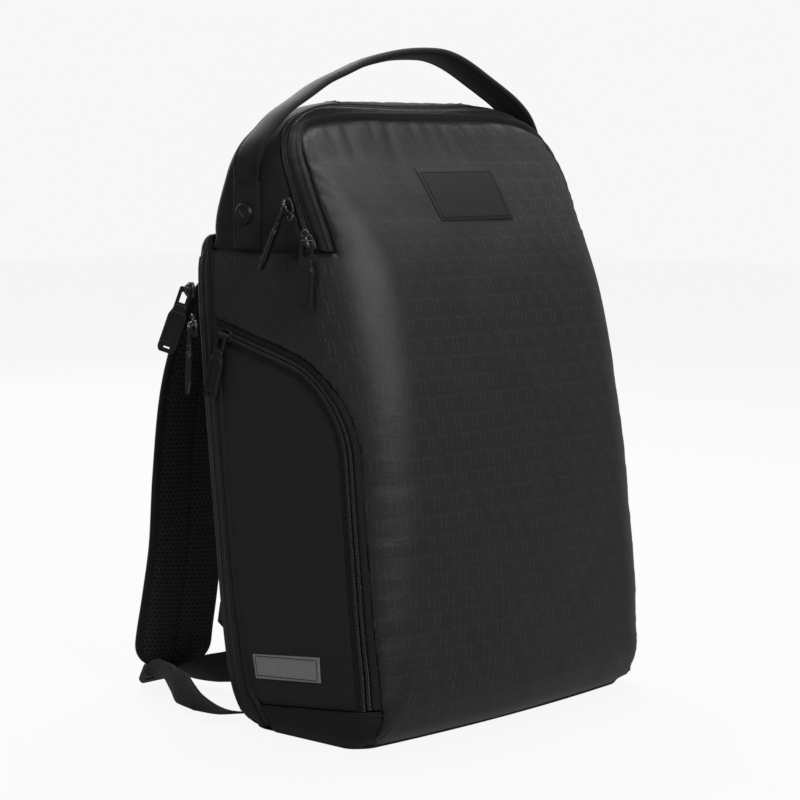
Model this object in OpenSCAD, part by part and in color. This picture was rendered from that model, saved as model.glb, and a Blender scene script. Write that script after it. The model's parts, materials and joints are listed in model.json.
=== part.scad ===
// Soft-sided carrying case worn as a backpack: a wrap-round front shell, a top lid on a
// U-shaped zip, an arched side door on each side, a rear laptop compartment, a padded
// carry handle and two shoulder straps with ladder locks.
// Origin: on the floor under the middle of the base. +Z up, the front faces -Y, millimetres.

/* [Body] */
// Width of the body at its widest, across the two sides
body_w = 312; // [290:1:330]
// Radius of the two upper corners, seen from the front
top_r = 50; // [46:1:54]
// How far the middle of the front stands out past its corners
front_bow = 8; // [2:1:12]
// Thickness of the laminated shell fabric with its foam
shell_t = 3; // [2.5:0.1:3.5]
// Thickness of the foam back panel
back_t = 6; // [4:0.5:7]

/* [Zips and doors] */
// Width of the stitched tape outside the side door's zip line
tape_out = 8; // [6:0.5:9]
// Width of the tape between the side door's zip line and its panel
tape_in = 7; // [5:0.5:8]
// Radius of the side door's arch
door_r = 75; // [70:1:80]
// Width of the main zip's gusset band, front to back
band_w = 16; // [13:0.5:18]
// Length of a zip puller, from its pivot to its tip
puller_l = 47; // [40:1:52]
// Width of a zip puller at its widest
puller_w = 12.5; // [11:0.5:15]

/* [Handle and straps] */
// Width of the carry handle
handle_w = 25; // [22:1:30]
// Height of the handle's arch above its sewn tabs
handle_h = 96; // [85:1:105]
// Width of a shoulder strap
strap_w = 64; // [56:1:68]
// Thickness of a shoulder strap's foam
strap_t = 11; // [8:1:12]
// Width of the adjusting webbing
web_w = 30; // [25:1:34]

/* [Hidden] */

// Outlines, as [height, distance]. Distances are from the plane x = 0 or y = 0.
side_line = [[0, 150], [12, 155], [60, 156], [150, 154], [250, 151], [335, 149], [390, 147]];
front_line = [[0, 86], [12, 101], [40, 111], [80, 113], [150, 110], [200, 105], [250, 97],
    [300, 85], [335, 73], [378, 49], [410, 27], [438, 6], [449, -12]];
front_radius = [[0, 14], [30, 26], [60, 38], [200, 48], [335, 46], [400, 22], [449, 6]];
seam_line = [[0, 3], [15, 13], [30, 24], [66, 31], [120, 41], [186, 50], [237, 57], [285, 63],
    [345, 66], [358, 67], [400, 55], [430, 44], [449, 26]];
rear_line = [[0, 22], [12, 40], [30, 49], [60, 55], [150, 67], [250, 80], [330, 87], [345, 84]];
corner_z = 390;
rear_r = 12;
base_t = 4;
seam_z = 343;
top_z = 449;
join_gap = 0.8;
zs_low = [4, 12, 22, 32, 45, 60, 80, 110, 150, 185, 215, 250, 275, 300, 320, seam_z];
zs_high = [344.6, 356, 367, 378, 390, 400, 410, 420, 429, 438, 445, top_z];
zs_rear = [4, 12, 30, 60, 105, 150, 200, 250, 290, 338];
front_s = [-3, -2.75, -2.5, -2.25, -2, -1.75, -1.5, -1.25, -1, -0.6, -0.2,
    0.2, 0.6, 1, 1.25, 1.5, 1.75, 2, 2.25, 2.5, 2.75, 3];
left_s = [-3, -2.7, -2.4, -2.2, -2, -1.8, -1.6, -1.4, -1.2];
rear_s = [3, 3.5, 4, 4.5, 5];

// The side door's zip line: a straight top, an arch and a straight front, as [y, z] and angles
arch_c = [5, 193.5];
arch_from = 104.6;
arch_to = 173.2;
door_top_l = 78;
door_front_l = 175;
hinge_top_l = 66;
hinge_front_l = 169;
hinge_top = arch_c + door_r * dir2(arch_from) + hinge_top_l * dir2(arch_from - 90);
hinge_low = arch_c + door_r * dir2(arch_to) + hinge_front_l * dir2(arch_to + 90);
hinge_dir = (hinge_low - hinge_top) / norm(hinge_low - hinge_top);
hinge_out = [hinge_dir[1], -hinge_dir[0]];
// Radius of the relief cut into the side panel at each end of the fold line
top_end_r = 11;
low_end_r = 22;

// The plane along which the lid's piping runs, as [y, z] points
lid_low = [-45, 345];
lid_high = [-3, 441];
lid_run = (lid_high - lid_low) / norm(lid_high - lid_low);
band_split = 6;

handle_foot = [27, 394];
handle_lean = 17;
handle_half = 148;
handle_t = 6;
// How far the padded arch starts above its foot, clear of the sewn tabs when it leans
foot_gap = 6.5;
rivet_pos = [27.5, 370];

yoke_z = [310, 336];
strap_path = [[-57, 93.5, 323], [-62, 114, 323], [-68, 130, 312], [-75, 139, 294], [-82, 145, 268],
    [-90, 150, 225], [-93, 154, 165], [-95, 155, 115], [-97, 160, 75], [-98, 167, 42], [-98, 172, 24]];
web_path = [[-105, 169.5, 9.3], [-109, 165, 10.5], [-124, 146, 19], [-139, 118, 21], [-148, 90, 19],
    [-151, 66, 12], [-149, 47, 8]];
web_lean = [88, 70, 25, 12, 20, 60, 80];
tail_path = [[-97, 174, 14], [-90, 158, 21], [-80, 132, 27], [-72, 112, 40], [-74, 100, 58],
    [-84, 101, 72], [-94, 108, 83]];
lock_pos = [-98, 182, 11];

function dir2(a) = [cos(a), sin(a)];
function unit(v) = v / norm(v);
function wid(z) = (body_w - 312) / 2 + (z < corner_z ? lookup(z, side_line) :
    lookup(corner_z, side_line) - top_r + sqrt(pow(top_r, 2) - pow(min(z - corner_z, 0.98 * top_r), 2)));
function lean(z) = z > 300 ? 1.3 : 1;
function bowed(x, y, w, f) = y < 0 ? y + front_bow * pow(x / w, 2) * min(1, -y / f) : y;

// A point of the main shell. s runs -1..1 over the front, 1..2 round a front corner, 2..3
// along a side and 3..5 over the back; t is the depth inside the outer surface.
function main_pt(s, z, t) =
    let (side = s < 0 ? -1 : 1, a = abs(s), w = wid(z) - t, f = lookup(z, front_line) - t * lean(z),
        b = lookup(z, seam_line) - t, r = max(lookup(z, front_radius) - t, 2), q = min(a, 2) * 90 - 90,
        x = a <= 1 ? a * (w - r) : a <= 2 ? w - r + r * sin(q) : a <= 3 ? w : w * (4 - a),
        y = a <= 1 ? -f : a <= 2 ? r - f - r * cos(q) : a <= 3 ? r - f + (a - 2) * (b + f - r) : b)
    [side * x, bowed(x, y, w, f), z];

// A point of the rear compartment. a runs 0..1 along the right side, 1..2 round the corner,
// 2..4 over the back, and on to 6 round the left side.
function rear_pt(a, z, t) =
    let (m = a > 3 ? 6 - a : a, w = wid(z) - t, b = lookup(z, rear_line) - t, c = lookup(z, seam_line),
        r = rear_r - min(t, rear_r - 2), q = (min(m, 2) - 1) * 90,
        x = m <= 1 ? w : m <= 2 ? w - r + r * cos(q) : (w - r) * (3 - m),
        y = m <= 1 ? c + m * (b - r - c) : m <= 2 ? b - r + r * sin(q) : b)
    [a > 3 ? -x : x, y, z];

function main_grid(zs, ss, t) = [for (z = zs) [for (s = ss) main_pt(s, z, t)]];
function rear_grid(zs, ss, t) = [for (z = zs) [for (s = ss) rear_pt(s, z, t)]];
function two(a, b, c, d) = [[a, b, c], [a, c, d]];

// A closed solid between an outer and an inner grid of points of the same size.
module between(outer, inner) {
    n = len(outer);
    m = len(outer[0]);
    k = n * m;
    points = concat([for (row = outer) each row], [for (row = inner) each row]);
    skins = [for (i = [0:n - 2], j = [0:m - 2]) let (p = i * m + j)
        each concat(two(p, p + m, p + m + 1, p + 1), two(k + p, k + p + 1, k + p + m + 1, k + p + m))];
    ends = [for (i = [0:n - 2]) let (p = i * m, q = i * m + m - 1)
        each concat(two(p + m, p, k + p, k + p + m), two(q, q + m, k + q + m, k + q))];
    rims = [for (j = [0:m - 2]) let (q = (n - 1) * m + j)
        each concat(two(q + 1, q, k + q, k + q + 1), two(j, j + 1, k + j + 1, k + j))];
    polyhedron(points, concat(skins, ends, rims));
}

module main_skin(zs, ss, t0, t1) {
    between(main_grid(zs, ss, t0), main_grid(zs, ss, t1));
}

module rear_skin(zs, ss, t0, t1) {
    between(rear_grid(zs, ss, t0), rear_grid(zs, ss, t1));
}

// Draws a [y, z] outline through the whole width from x0 to x1.
module across(x0, x1) {
    translate([x0, 0, 0]) rotate([90, 0, 90]) linear_extrude(x1 - x0) children();
}

// Everything inside the side door's zip line moved outwards by d, down to the floor.
module door_shape(d) {
    c = arch_c;
    r = door_r + d;
    arc = [for (i = [0:10]) c + r * dir2(arch_from + i * (arch_to - arch_from) / 10)];
    foot = arc[10] + door_front_l * dir2(arch_to + 90);
    polygon(concat([arc[0] + 140 * dir2(arch_from - 90)], arc,
        [foot, [foot[0] + 3, 12], [foot[0] + 16, -2], [150, -2]]));
}

// The line where the side door meets the tough base piece; the shape above it.
module above_base(gap) {
    polygon([[100, 11 + gap], [-150, 35.5 + gap], [-150, 400], [100, 400]]);
}

// The part of a side in front of the fold that joins the two ends of the door's zip.
module ahead_of_fold(gap) {
    a = hinge_top + gap * hinge_out - 60 * hinge_dir;
    b = hinge_low + gap * hinge_out + 60 * hinge_dir;
    difference() {
        polygon([a, b, b + 200 * hinge_out, a + 200 * hinge_out]);
        translate(hinge_top) circle(r = top_end_r + gap, $fn = 16);
        translate(hinge_low) circle(r = low_end_r + gap, $fn = 24);
    }
}

// The slice of the upper body between the lid's edge plane moved back by d0 and by d1.
module lid_slice(d0, d1) {
    a = lid_low - 40 * lid_run;
    b = lid_high + 60 * lid_run;
    polygon([a + [d1, 0], b + [d1, 0], b + [d0, 0], a + [d0, 0]]);
}

// Keeps only the left side's share of a skin.
module left_part(t0, t1, zs) {
    intersection() {
        main_skin(zs, left_s, t0, t1);
        across(-200, -60) children();
    }
}

// Base, front and sides

module base_plate() {
    rim = concat([for (s = front_s) main_pt(s, 2, 0)], [for (a = [0:0.5:6]) rear_pt(a, 2, 0)]);
    color("#18181a") linear_extrude(base_t - 0.05) polygon([for (p = rim) [p[0], p[1]]]);
}

module front_panel() {
    color("#2c2c2f") difference() {
        main_skin(zs_low, front_s, 0, shell_t);
        across(-200, -100) door_shape(tape_out);
        across(100, 200) door_shape(tape_out);
    }
}

module base_side_left() {
    color("#232326") left_part(0, shell_t, [4, 8, 12, 17, 22, 27, 32, 40]) difference() {
        door_shape(tape_out - 0.1);
        above_base(0);
    }
}

module side_panel_left() {
    color("#1c1c1e") left_part(1, 4, zs_low) intersection() {
        difference() {
            door_shape(-tape_in);
            ahead_of_fold(0);
        }
        above_base(0.1);
    }
}

module side_zip_left() {
    color("#141416") left_part(2, 3.6, zs_low) intersection() {
        difference() {
            door_shape(tape_out - 0.1);
            door_shape(-tape_in + 0.1);
            intersection() {
                door_shape(0);
                ahead_of_fold(0);
            }
        }
        above_base(0.1);
    }
}

module door_left() {
    color("#202022") left_part(1, 4, zs_low) intersection() {
        door_shape(-tape_in);
        ahead_of_fold(join_gap);
        above_base(join_gap);
    }
}

module door_zip_left() {
    color("#141416") left_part(2, 3.6, zs_low) intersection() {
        difference() {
            door_shape(-join_gap);
            door_shape(-tape_in + 0.1);
        }
        ahead_of_fold(join_gap);
        above_base(join_gap);
    }
}

module side_label() {
    x = wid(50) - 1;
    color("#8c8c8c") across(-x - 0.9, -x - 0.2) polygon([[14, 38], [-50, 44.5], [-49, 63.5], [17, 56.5]]);
}

// Upper body and lid

module top_band() {
    rear = lookup(top_z, seam_line) - shell_t - 0.1;
    color("#232326") difference() {
        union() {
            main_skin(zs_high, front_s, 0, shell_t);
            translate([0, 0, top_z - shell_t]) linear_extrude(shell_t) polygon([
                for (s = [-3, -2, -1, 0, 1, 2, 3]) let (p = main_pt(s, top_z, 1)) [p[0], min(p[1], rear)]]);
        }
        across(-200, 200) lid_slice(-220, band_w);
    }
}

module upper_back() {
    color("#232326") main_skin(zs_high, rear_s, 0, shell_t);
}

module main_zip_tape() {
    color("#141416") resize([0, 0, 0]) intersection() {
        main_skin(zs_high, front_s, 1, 2.6);
        across(-200, 200) lid_slice(band_split, band_w - 0.1);
    }
}

module lid() {
    color("#2c2c2f") intersection() {
        main_skin(concat([345.6], [for (i = [1:11]) zs_high[i]]), front_s, 0, 4);
        across(-200, 200) lid_slice(-220, -2.6);
    }
}

module lid_piping() {
    color("#202022") intersection() {
        main_skin(concat([345.6], [for (i = [1:11]) zs_high[i]]), front_s, -1.5, 3);
        across(-200, 200) lid_slice(-2.5, 0);
    }
}

module lid_zip_tape() {
    color("#141416") intersection() {
        main_skin(concat([345.6], [for (i = [1:11]) zs_high[i]]), front_s, 1, 2.6);
        across(-200, 200) lid_slice(0.1, band_split - join_gap);
    }
}

module lid_patch() {
    color("#1a1a1c") main_skin([364, 378, 390, 402], [-0.4, -0.2, 0, 0.2, 0.4], -1.2, 0);
}

// Inner walls

module laptop_wall() {
    color("#3a3a3e") main_skin(zs_low, rear_s, 0, 4);
}

module padded_shelf() {
    rim = [for (s = front_s) main_pt(s, 304, 7)];
    color("#4a4a50") translate([0, 0, 298]) linear_extrude(6) polygon([for (p = rim) [p[0], p[1]]]);
}

module lower_divider() {
    zs = [5, 12, 40, 80, 150, 200, 250, 297];
    front = [for (z = zs) [shell_t + 3 - lookup(z, front_line), z]];
    back = [for (i = [len(zs) - 1:-1:0]) [lookup(zs[i], seam_line) - 6, zs[i]]];
    color("#4a4a50") across(-3, 3) polygon(concat(front, back));
}

// Rear compartment

module rear_gusset_left() {
    color("#1f1f22") rear_skin(zs_rear, [5.15, 5.5, 5.96], 0, shell_t);
}

module rear_zip() {
    color("#141416") union() {
        rear_skin(zs_rear, [0.86, 1, 1.19], 0.5, 2);
        rear_skin(zs_rear, [4.81, 5, 5.14], 0.5, 2);
    }
}

module back_panel() {
    color("#1b1b1d") rear_skin(zs_rear, [1.2, 1.5, 1.8, 2, 2.5, 3, 3.5, 4, 4.2, 4.5, 4.8], 0, back_t);
}

// A foam pad on the back panel from x0 to x1, with its edges thinned.
module back_pad(x0, x1, zs, thick) {
    xs = [x0, x0 + 8, x1 - 8, x1];
    last = len(zs) - 1;
    function out(i, j) = i == 0 || i == last || j == 0 || j == 3 ? 1.5 : thick;
    outer = [for (i = [0:last]) [for (j = [3:-1:0]) [xs[j], lookup(zs[i], rear_line) + out(i, j), zs[i]]]];
    inner = [for (i = [0:last]) [for (j = [3:-1:0]) [xs[j], lookup(zs[i], rear_line) + 0.05, zs[i]]]];
    color("#222225") between(outer, inner);
}

module back_pad_left() {
    back_pad(-118, -14, [112, 122, 150, 200, 250, 290, 300], 10);
}

module lumbar_pad() {
    back_pad(-112, 112, [34, 44, 60, 92, 102], 11);
}

module strap_yoke() {
    back_pad(-96, 96, [yoke_z[0], yoke_z[0] + 6, yoke_z[1] - 6, yoke_z[1]], 4);
}

module rear_flap() {
    outer = [[67.9, 355], [74, 354.6], [80, 351.6], [84.2, 346.6], [86, 339]];
    inner = [for (i = [4:-1:0]) let (p = outer[i]) [p[0] - (i > 0 ? 2.4 : 0), max(p[1] - 2.4, 339)]];
    w = wid(350) - 0.5;
    color("#1f1f22") union() {
        across(-w, w) polygon(concat(outer, inner));
        for (side = [-1, 1]) {
            across(side < 0 ? -w : w - 3, side < 0 ? 3 - w : w) polygon(concat(outer, [[69, 339]]));
        }
    }
}

// Carry handle

module handle_tab_left() {
    x = wid(345) + 0.1;
    color("#1e1e20") across(-x - 2.4, -x) translate([rivet_pos[0] - handle_w / 2, 345])
        square([handle_w, 48.5]);
}

module rivet_left() {
    x = wid(345) + 2.6;
    color("#2b2b2e") translate([-x, rivet_pos[0], rivet_pos[1]]) rotate([0, -90, 0]) rotate_extrude($fn = 48)
        polygon([[0, 0], [8, 0], [8, 1.4], [6.8, 2.6], [5.2, 3], [4.8, 2.6], [0, 3.2]]);
}

module handle() {
    steps = 24;
    rise = handle_h + 1 - foot_gap;
    outer = [for (i = [0:steps]) let (a = i * 180 / steps)
        [(handle_half + handle_t) * cos(a), foot_gap + rise * sin(a)]];
    inner = [for (i = [steps:-1:0]) let (a = i * 180 / steps)
        [handle_half * cos(a), foot_gap + (rise - handle_t) * sin(a)]];
    color("#1e1e20") translate([0, handle_foot[0], handle_foot[1]]) rotate([handle_lean, 0, 0])
        translate([0, handle_w / 2, 0]) rotate([90, 0, 0]) linear_extrude(handle_w)
        polygon(concat(outer, inner));
}

// Zip sliders and pullers. Each stands on a pivot with its own way down and its own width
// direction, because a puller hangs loosely from its slider.

module frame_at(pos, down, across_dir) {
    d = unit(down);
    w0 = across_dir - (across_dir * d) * d;
    w = unit(w0);
    n = cross(w, d);
    multmatrix([[w[0], d[0], n[0], pos[0]], [w[1], d[1], n[1], pos[1]], [w[2], d[2], n[2], pos[2]]])
        children();
}

// A slider: a base plate on the tape and an arch that holds the puller's bar, which lies along
// X with the puller hanging towards +Y.
module slider() {
    color("#55555a") union() {
        translate([-1.2, -5, -3.4]) cube([2.4, 10, 1.4]);
        translate([1.2, 0, 0]) rotate([0, -90, 0]) linear_extrude(2.4) difference() {
            union() {
                circle(r = 3.4, $fn = 40);
                translate([-2.2, -4.5]) square([3, 9]);
            }
            circle(r = 1.9, $fn = 40);
        }
    }
}

// A puller: a bar on the X axis, two legs, and a plate that widens into a long panel.
module puller() {
    half = puller_w / 2;
    color("#48484c") union() {
        translate([-4, 0, 0]) rotate([0, 90, 0]) cylinder(r = 1, h = 8, $fn = 24);
        for (side = [-1, 1]) {
            translate([side * 3.1 - 0.9, 0, -1]) cube([1.8, 11, 2]);
        }
        translate([0, 0, -1.2]) linear_extrude(2.4) polygon([[-4, 9], [4, 9], [4.4, 16],
            [half, 21], [half, puller_l - 3], [half - 2, puller_l], [2 - half, puller_l],
            [-half, puller_l - 3], [-half, 21], [-4.4, 16]]);
    }
}

main_upper = [[-156.5, -17, 376], [-0.16, 0.33, -0.93], [-0.85, -0.5, -0.03]];
main_lower = [[-154.5, -36.5, 351], [-0.05, 0.04, -1], [0.53, -0.85, 0]];
rear_upper = [[-157, 84, 314], [-0.25, 0.22, -0.95], [0.72, -0.69, 0]];
rear_lower = [[-155, 83, 286], [-0.03, 0.02, -1], [0.73, 0.68, 0]];
door_left_at = [[-152.8, 51, 283], [-0.06, 0.22, -0.97], [0, -0.97, -0.22]];

module main_slider_upper() {
    frame_at(main_upper[0], main_upper[1], main_upper[2]) slider();
}

module main_puller_upper() {
    frame_at(main_upper[0], main_upper[1], main_upper[2]) puller();
}

module main_slider_lower() {
    frame_at(main_lower[0], main_lower[1], main_lower[2]) slider();
}

module main_puller_lower() {
    frame_at(main_lower[0], main_lower[1], main_lower[2]) puller();
}

module rear_slider_upper() {
    frame_at(rear_upper[0], rear_upper[1], rear_upper[2]) slider();
}

module rear_puller_upper() {
    frame_at(rear_upper[0], rear_upper[1], rear_upper[2]) puller();
}

module rear_slider_lower() {
    frame_at(rear_lower[0], rear_lower[1], rear_lower[2]) slider();
}

module rear_puller_lower() {
    frame_at(rear_lower[0], rear_lower[1], rear_lower[2]) puller();
}

module door_slider_left() {
    frame_at(door_left_at[0], door_left_at[1], door_left_at[2]) slider();
}

module door_puller_left() {
    frame_at(door_left_at[0], door_left_at[1], door_left_at[2]) puller();
}

// Shoulder straps. A band of rectangular section along a path; lean turns its width from
// standing on edge (0) to lying flat (90).

function side_of(path, i) =
    let (n = len(path) - 1, t = path[min(i + 1, n)] - path[max(i - 1, 0)])
    unit(cross(unit(t), [0, 0, 1]));

module band(path, width, thick, leans) {
    n = len(path) - 1;
    rings = [for (i = [0:n]) let (
            t = unit(path[min(i + 1, n)] - path[max(i - 1, 0)]),
            h = side_of(path, i),
            v = cross(h, t),
            w = cos(leans[i]) * v + sin(leans[i]) * h,
            q = cross(t, w))
        [for (c = [[-1, -1], [1, -1], [1, 1], [-1, 1]]) path[i] + w * c[0] * width / 2 + q * c[1] * thick / 2]];
    points = [for (r = rings) each r];
    walls = [for (i = [0:n - 1], j = [0:3]) let (p = i * 4 + j, q = i * 4 + (j + 1) % 4)
        each two(p, q, q + 4, p + 4)];
    polyhedron(points, concat([[3, 2, 1, 0]], walls, [[n * 4, n * 4 + 1, n * 4 + 2, n * 4 + 3]]));
}

// The padded strap: its width stays along X while its path bows away from the back.
module padded_strap() {
    n = len(strap_path) - 1;
    rings = [for (i = [0:n]) let (
            t = unit(strap_path[min(i + 1, n)] - strap_path[max(i - 1, 0)]),
            q = unit(cross([1, 0, 0], t)), k = i == n ? 0.55 : i == n - 1 ? 0.85 : i == 0 ? 0.8 : 1,
            hw = strap_w / 2 * k, ht = strap_t / 2 * (i == n || i == 0 ? 0.6 : 1))
        [for (c = [[-1, -1], [1, -1], [1, 1], [-1, 1]])
            strap_path[i] + [hw * c[0], 0, 0] + q * ht * c[1]]];
    points = [for (r = rings) each r];
    walls = [for (i = [0:n - 1], j = [0:3]) let (p = i * 4 + j, q = i * 4 + (j + 1) % 4)
        each two(p, q, q + 4, p + 4)];
    polyhedron(points, concat([[3, 2, 1, 0]], walls, [[n * 4, n * 4 + 1, n * 4 + 2, n * 4 + 3]]));
}

module shoulder_strap_left() {
    color("#262629") padded_strap();
}

module ladder_lock_left() {
    half = 19;
    color("#6a6a6e") translate(lock_pos) rotate([-62, 0, 0]) translate([0, 0, -1.6])
        linear_extrude(3.2) difference() {
        translate([-half, -8]) square([2 * half, 17]);
        for (y = [-5.6, -0.6, 4.4]) {
            translate([3 - half, y]) square([2 * half - 6, 2.6]);
        }
    }
}

module webbing_left() {
    color("#1d1d1f") band(web_path, web_w, 1.6, web_lean);
}

module webbing_tail_left() {
    color("#1d1d1f") band(tail_path, web_w - 4, 1.6, [80, 60, 30, 20, 40, 55, 60]);
}

// Right-hand pieces are mirror images.

module base_side_right() {
    mirror([1, 0, 0]) base_side_left();
}

module side_panel_right() {
    mirror([1, 0, 0]) side_panel_left();
}

module side_zip_right() {
    mirror([1, 0, 0]) side_zip_left();
}

module door_right() {
    mirror([1, 0, 0]) door_left();
}

module door_zip_right() {
    mirror([1, 0, 0]) door_zip_left();
}

module rear_gusset_right() {
    mirror([1, 0, 0]) rear_gusset_left();
}

module back_pad_right() {
    mirror([1, 0, 0]) back_pad_left();
}

module handle_tab_right() {
    mirror([1, 0, 0]) handle_tab_left();
}

module rivet_right() {
    mirror([1, 0, 0]) rivet_left();
}

module door_slider_right() {
    mirror([1, 0, 0]) door_slider_left();
}

module door_puller_right() {
    mirror([1, 0, 0]) door_puller_left();
}

module shoulder_strap_right() {
    mirror([1, 0, 0]) shoulder_strap_left();
}

module ladder_lock_right() {
    mirror([1, 0, 0]) ladder_lock_left();
}

module webbing_right() {
    mirror([1, 0, 0]) webbing_left();
}

module webbing_tail_right() {
    mirror([1, 0, 0]) webbing_tail_left();
}

base_plate();
front_panel();
base_side_left();
base_side_right();
side_panel_left();
side_panel_right();
side_zip_left();
side_zip_right();
top_band();
upper_back();
main_zip_tape();
laptop_wall();
padded_shelf();
lower_divider();
rear_gusset_left();
rear_gusset_right();
rear_zip();
back_panel();
back_pad_left();
back_pad_right();
lumbar_pad();
strap_yoke();
handle_tab_left();
handle_tab_right();
rivet_left();
rivet_right();
side_label();
lid();
lid_piping();
lid_zip_tape();
lid_patch();
door_left();
door_right();
door_zip_left();
door_zip_right();
rear_flap();
handle();
main_slider_upper();
main_puller_upper();
main_slider_lower();
main_puller_lower();
rear_slider_upper();
rear_puller_upper();
rear_slider_lower();
rear_puller_lower();
door_slider_left();
door_puller_left();
door_slider_right();
door_puller_right();
shoulder_strap_left();
shoulder_strap_right();
ladder_lock_left();
ladder_lock_right();
webbing_left();
webbing_right();
webbing_tail_left();
webbing_tail_right();
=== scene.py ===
"""Looks of a soft carrying case worn as a backpack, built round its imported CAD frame.

Shapes are worked out in millimetres, in the frame's own axes: the front faces -Y and +Z is up.
"""
import json
import math

import bpy
import numpy as np
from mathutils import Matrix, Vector, noise
from mathutils.geometry import delaunay_2d_cdt


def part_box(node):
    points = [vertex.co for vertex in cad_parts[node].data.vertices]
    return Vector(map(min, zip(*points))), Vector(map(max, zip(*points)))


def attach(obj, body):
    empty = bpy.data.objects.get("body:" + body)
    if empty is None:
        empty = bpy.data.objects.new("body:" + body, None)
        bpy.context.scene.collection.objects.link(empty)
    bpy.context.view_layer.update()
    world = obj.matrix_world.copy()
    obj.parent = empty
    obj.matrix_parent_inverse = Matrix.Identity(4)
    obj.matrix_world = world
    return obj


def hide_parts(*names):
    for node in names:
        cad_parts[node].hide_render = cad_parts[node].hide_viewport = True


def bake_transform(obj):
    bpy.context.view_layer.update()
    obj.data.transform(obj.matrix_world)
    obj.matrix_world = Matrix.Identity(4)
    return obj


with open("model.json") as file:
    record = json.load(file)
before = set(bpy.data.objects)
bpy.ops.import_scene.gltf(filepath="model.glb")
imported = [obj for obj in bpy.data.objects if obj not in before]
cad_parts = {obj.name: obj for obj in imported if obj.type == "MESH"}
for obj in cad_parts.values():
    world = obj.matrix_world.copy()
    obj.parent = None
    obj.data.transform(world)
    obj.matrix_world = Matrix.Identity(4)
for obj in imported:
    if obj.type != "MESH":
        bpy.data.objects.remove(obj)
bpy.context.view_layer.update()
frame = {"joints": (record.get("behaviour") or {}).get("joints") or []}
MM = 0.001
SIDES = (("left", -1), ("right", 1))

# Outlines as [height, distance], the same driving lines as the frame's: half the width, the front,
# the radius of its corners, the seam between the main body and the rear compartment, and the rear
HALF_WIDTH = [[0, 150], [12, 155], [60, 156], [150, 154], [250, 151], [335, 149], [390, 147],
              [400, 146.4], [410, 144], [420, 139.5], [429, 132], [435, 124], [440, 114],
              [444, 104], [447, 92], [449, 78]]
FRONT = [[0, 86], [12, 101], [40, 111], [80, 113], [150, 110], [200, 105], [250, 97],
         [300, 85], [335, 73], [378, 49], [410, 27], [438, 6], [449, -12]]
FRONT_RADIUS = [[0, 14], [30, 26], [60, 38], [200, 48], [335, 46], [400, 22], [449, 6]]
SEAM = [[0, 3], [15, 13], [30, 24], [66, 31], [120, 41], [186, 50], [237, 57], [285, 63],
        [345, 66], [358, 67], [400, 55], [430, 44], [449, 26]]
REAR = [[0, 22], [12, 40], [30, 49], [60, 55], [150, 67], [250, 80], [330, 87], [345, 84]]
# How much the front is bowed, the round of the compartment's rear corners, and the cloth's thickness
FRONT_BOW = 8
REAR_RADIUS = 12
SHELL = 3
# Heights of the crest's start and of the horizontal seam, and how far s runs on over the crest
TOP_Z = 449
SEAM_Z = 344
CAP = 7
# The arch of the side doors' zips, in (y, z), between its two angles
ARCH_CENTRE = np.array([5, 193.5])
DOOR_R = 75
ARCH_FROM, ARCH_TO = 104.6, 173.2
# How far the side panel's cut edge lies inside the door's zip line, and the front's outside it
PANEL_EDGE, TAPE_OUT = -7.4, 8
# Width of the main zip's band behind the lid's edge, and where its coils meet
BAND = 16
ZIP_AT = 10.6
# The plane of the lid's edge, by its lowest and highest (y, z)
LID_LOW, LID_HIGH = np.array([-45, 345]), np.array([-3, 441])
# Width of the cloth from the middle of the front to each whole s: the rear corner is at 3
REAR_U = 290
U_OF_S = ([0, 1, 2, 3], [0, 103, 178, REAR_U])
# Heights of the cut edges of the cloth at the floor and under and over the horizontal seam
FOOT_Z, UNDER_SEAM, OVER_SEAM = 0.6, SEAM_Z - 0.4, SEAM_Z + 0.5
# How far in front of the lid's edge its face ends
LID_INSET = 2.6


# ---------------------------------------------------------------- curves and surfaces

def smooth_line(points):
    """A function of height that passes smoothly through the points, without overshoot."""
    x, y = np.array(points, float).T
    h, d = np.diff(x), np.diff(y) / np.diff(x)
    m = np.concatenate([[d[0]], np.zeros(len(h) - 1), [d[-1]]])
    for i in range(1, len(h)):
        if d[i - 1] * d[i] > 0:
            m[i] = 2 / (1 / d[i - 1] + 1 / d[i])

    def at(z):
        z = np.clip(z, x[0], x[-1])
        i = np.clip(np.searchsorted(x, z) - 1, 0, len(h) - 1)
        t = (z - x[i]) / h[i]
        return ((2 * t**3 - 3 * t**2 + 1) * y[i] + (t**3 - 2 * t**2 + t) * h[i] * m[i]
                + (3 * t**2 - 2 * t**3) * y[i + 1] + (t**3 - t**2) * h[i] * m[i + 1])
    return at


half_width, front, front_radius, seam, rear = map(
    smooth_line, (HALF_WIDTH, FRONT, FRONT_RADIUS, SEAM, REAR))


def step(x, a, b):
    """0 below a, 1 above b, smooth between."""
    k = np.clip((x - a) / (b - a), 0, 1)
    return k * k * (3 - 2 * k)


def rolled(gap, depth, width):
    """How far a sewn edge is rolled in, at each gap from it: a quarter round of that width."""
    return depth * (1 - np.sqrt(1 - (1 - np.clip(gap / width, 0, 1)) ** 2))


def turns(n):
    """n angles evenly round a circle."""
    return np.linspace(0, 2 * math.pi, n, endpoint=False)


def unit(v):
    """Vectors made one long."""
    return v / np.maximum(np.linalg.norm(v, axis=-1, keepdims=True), 1e-9)


def direction(angle):
    """The 2D direction at an angle in degrees."""
    return np.array([math.cos(math.radians(angle)), math.sin(math.radians(angle))])


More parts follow.
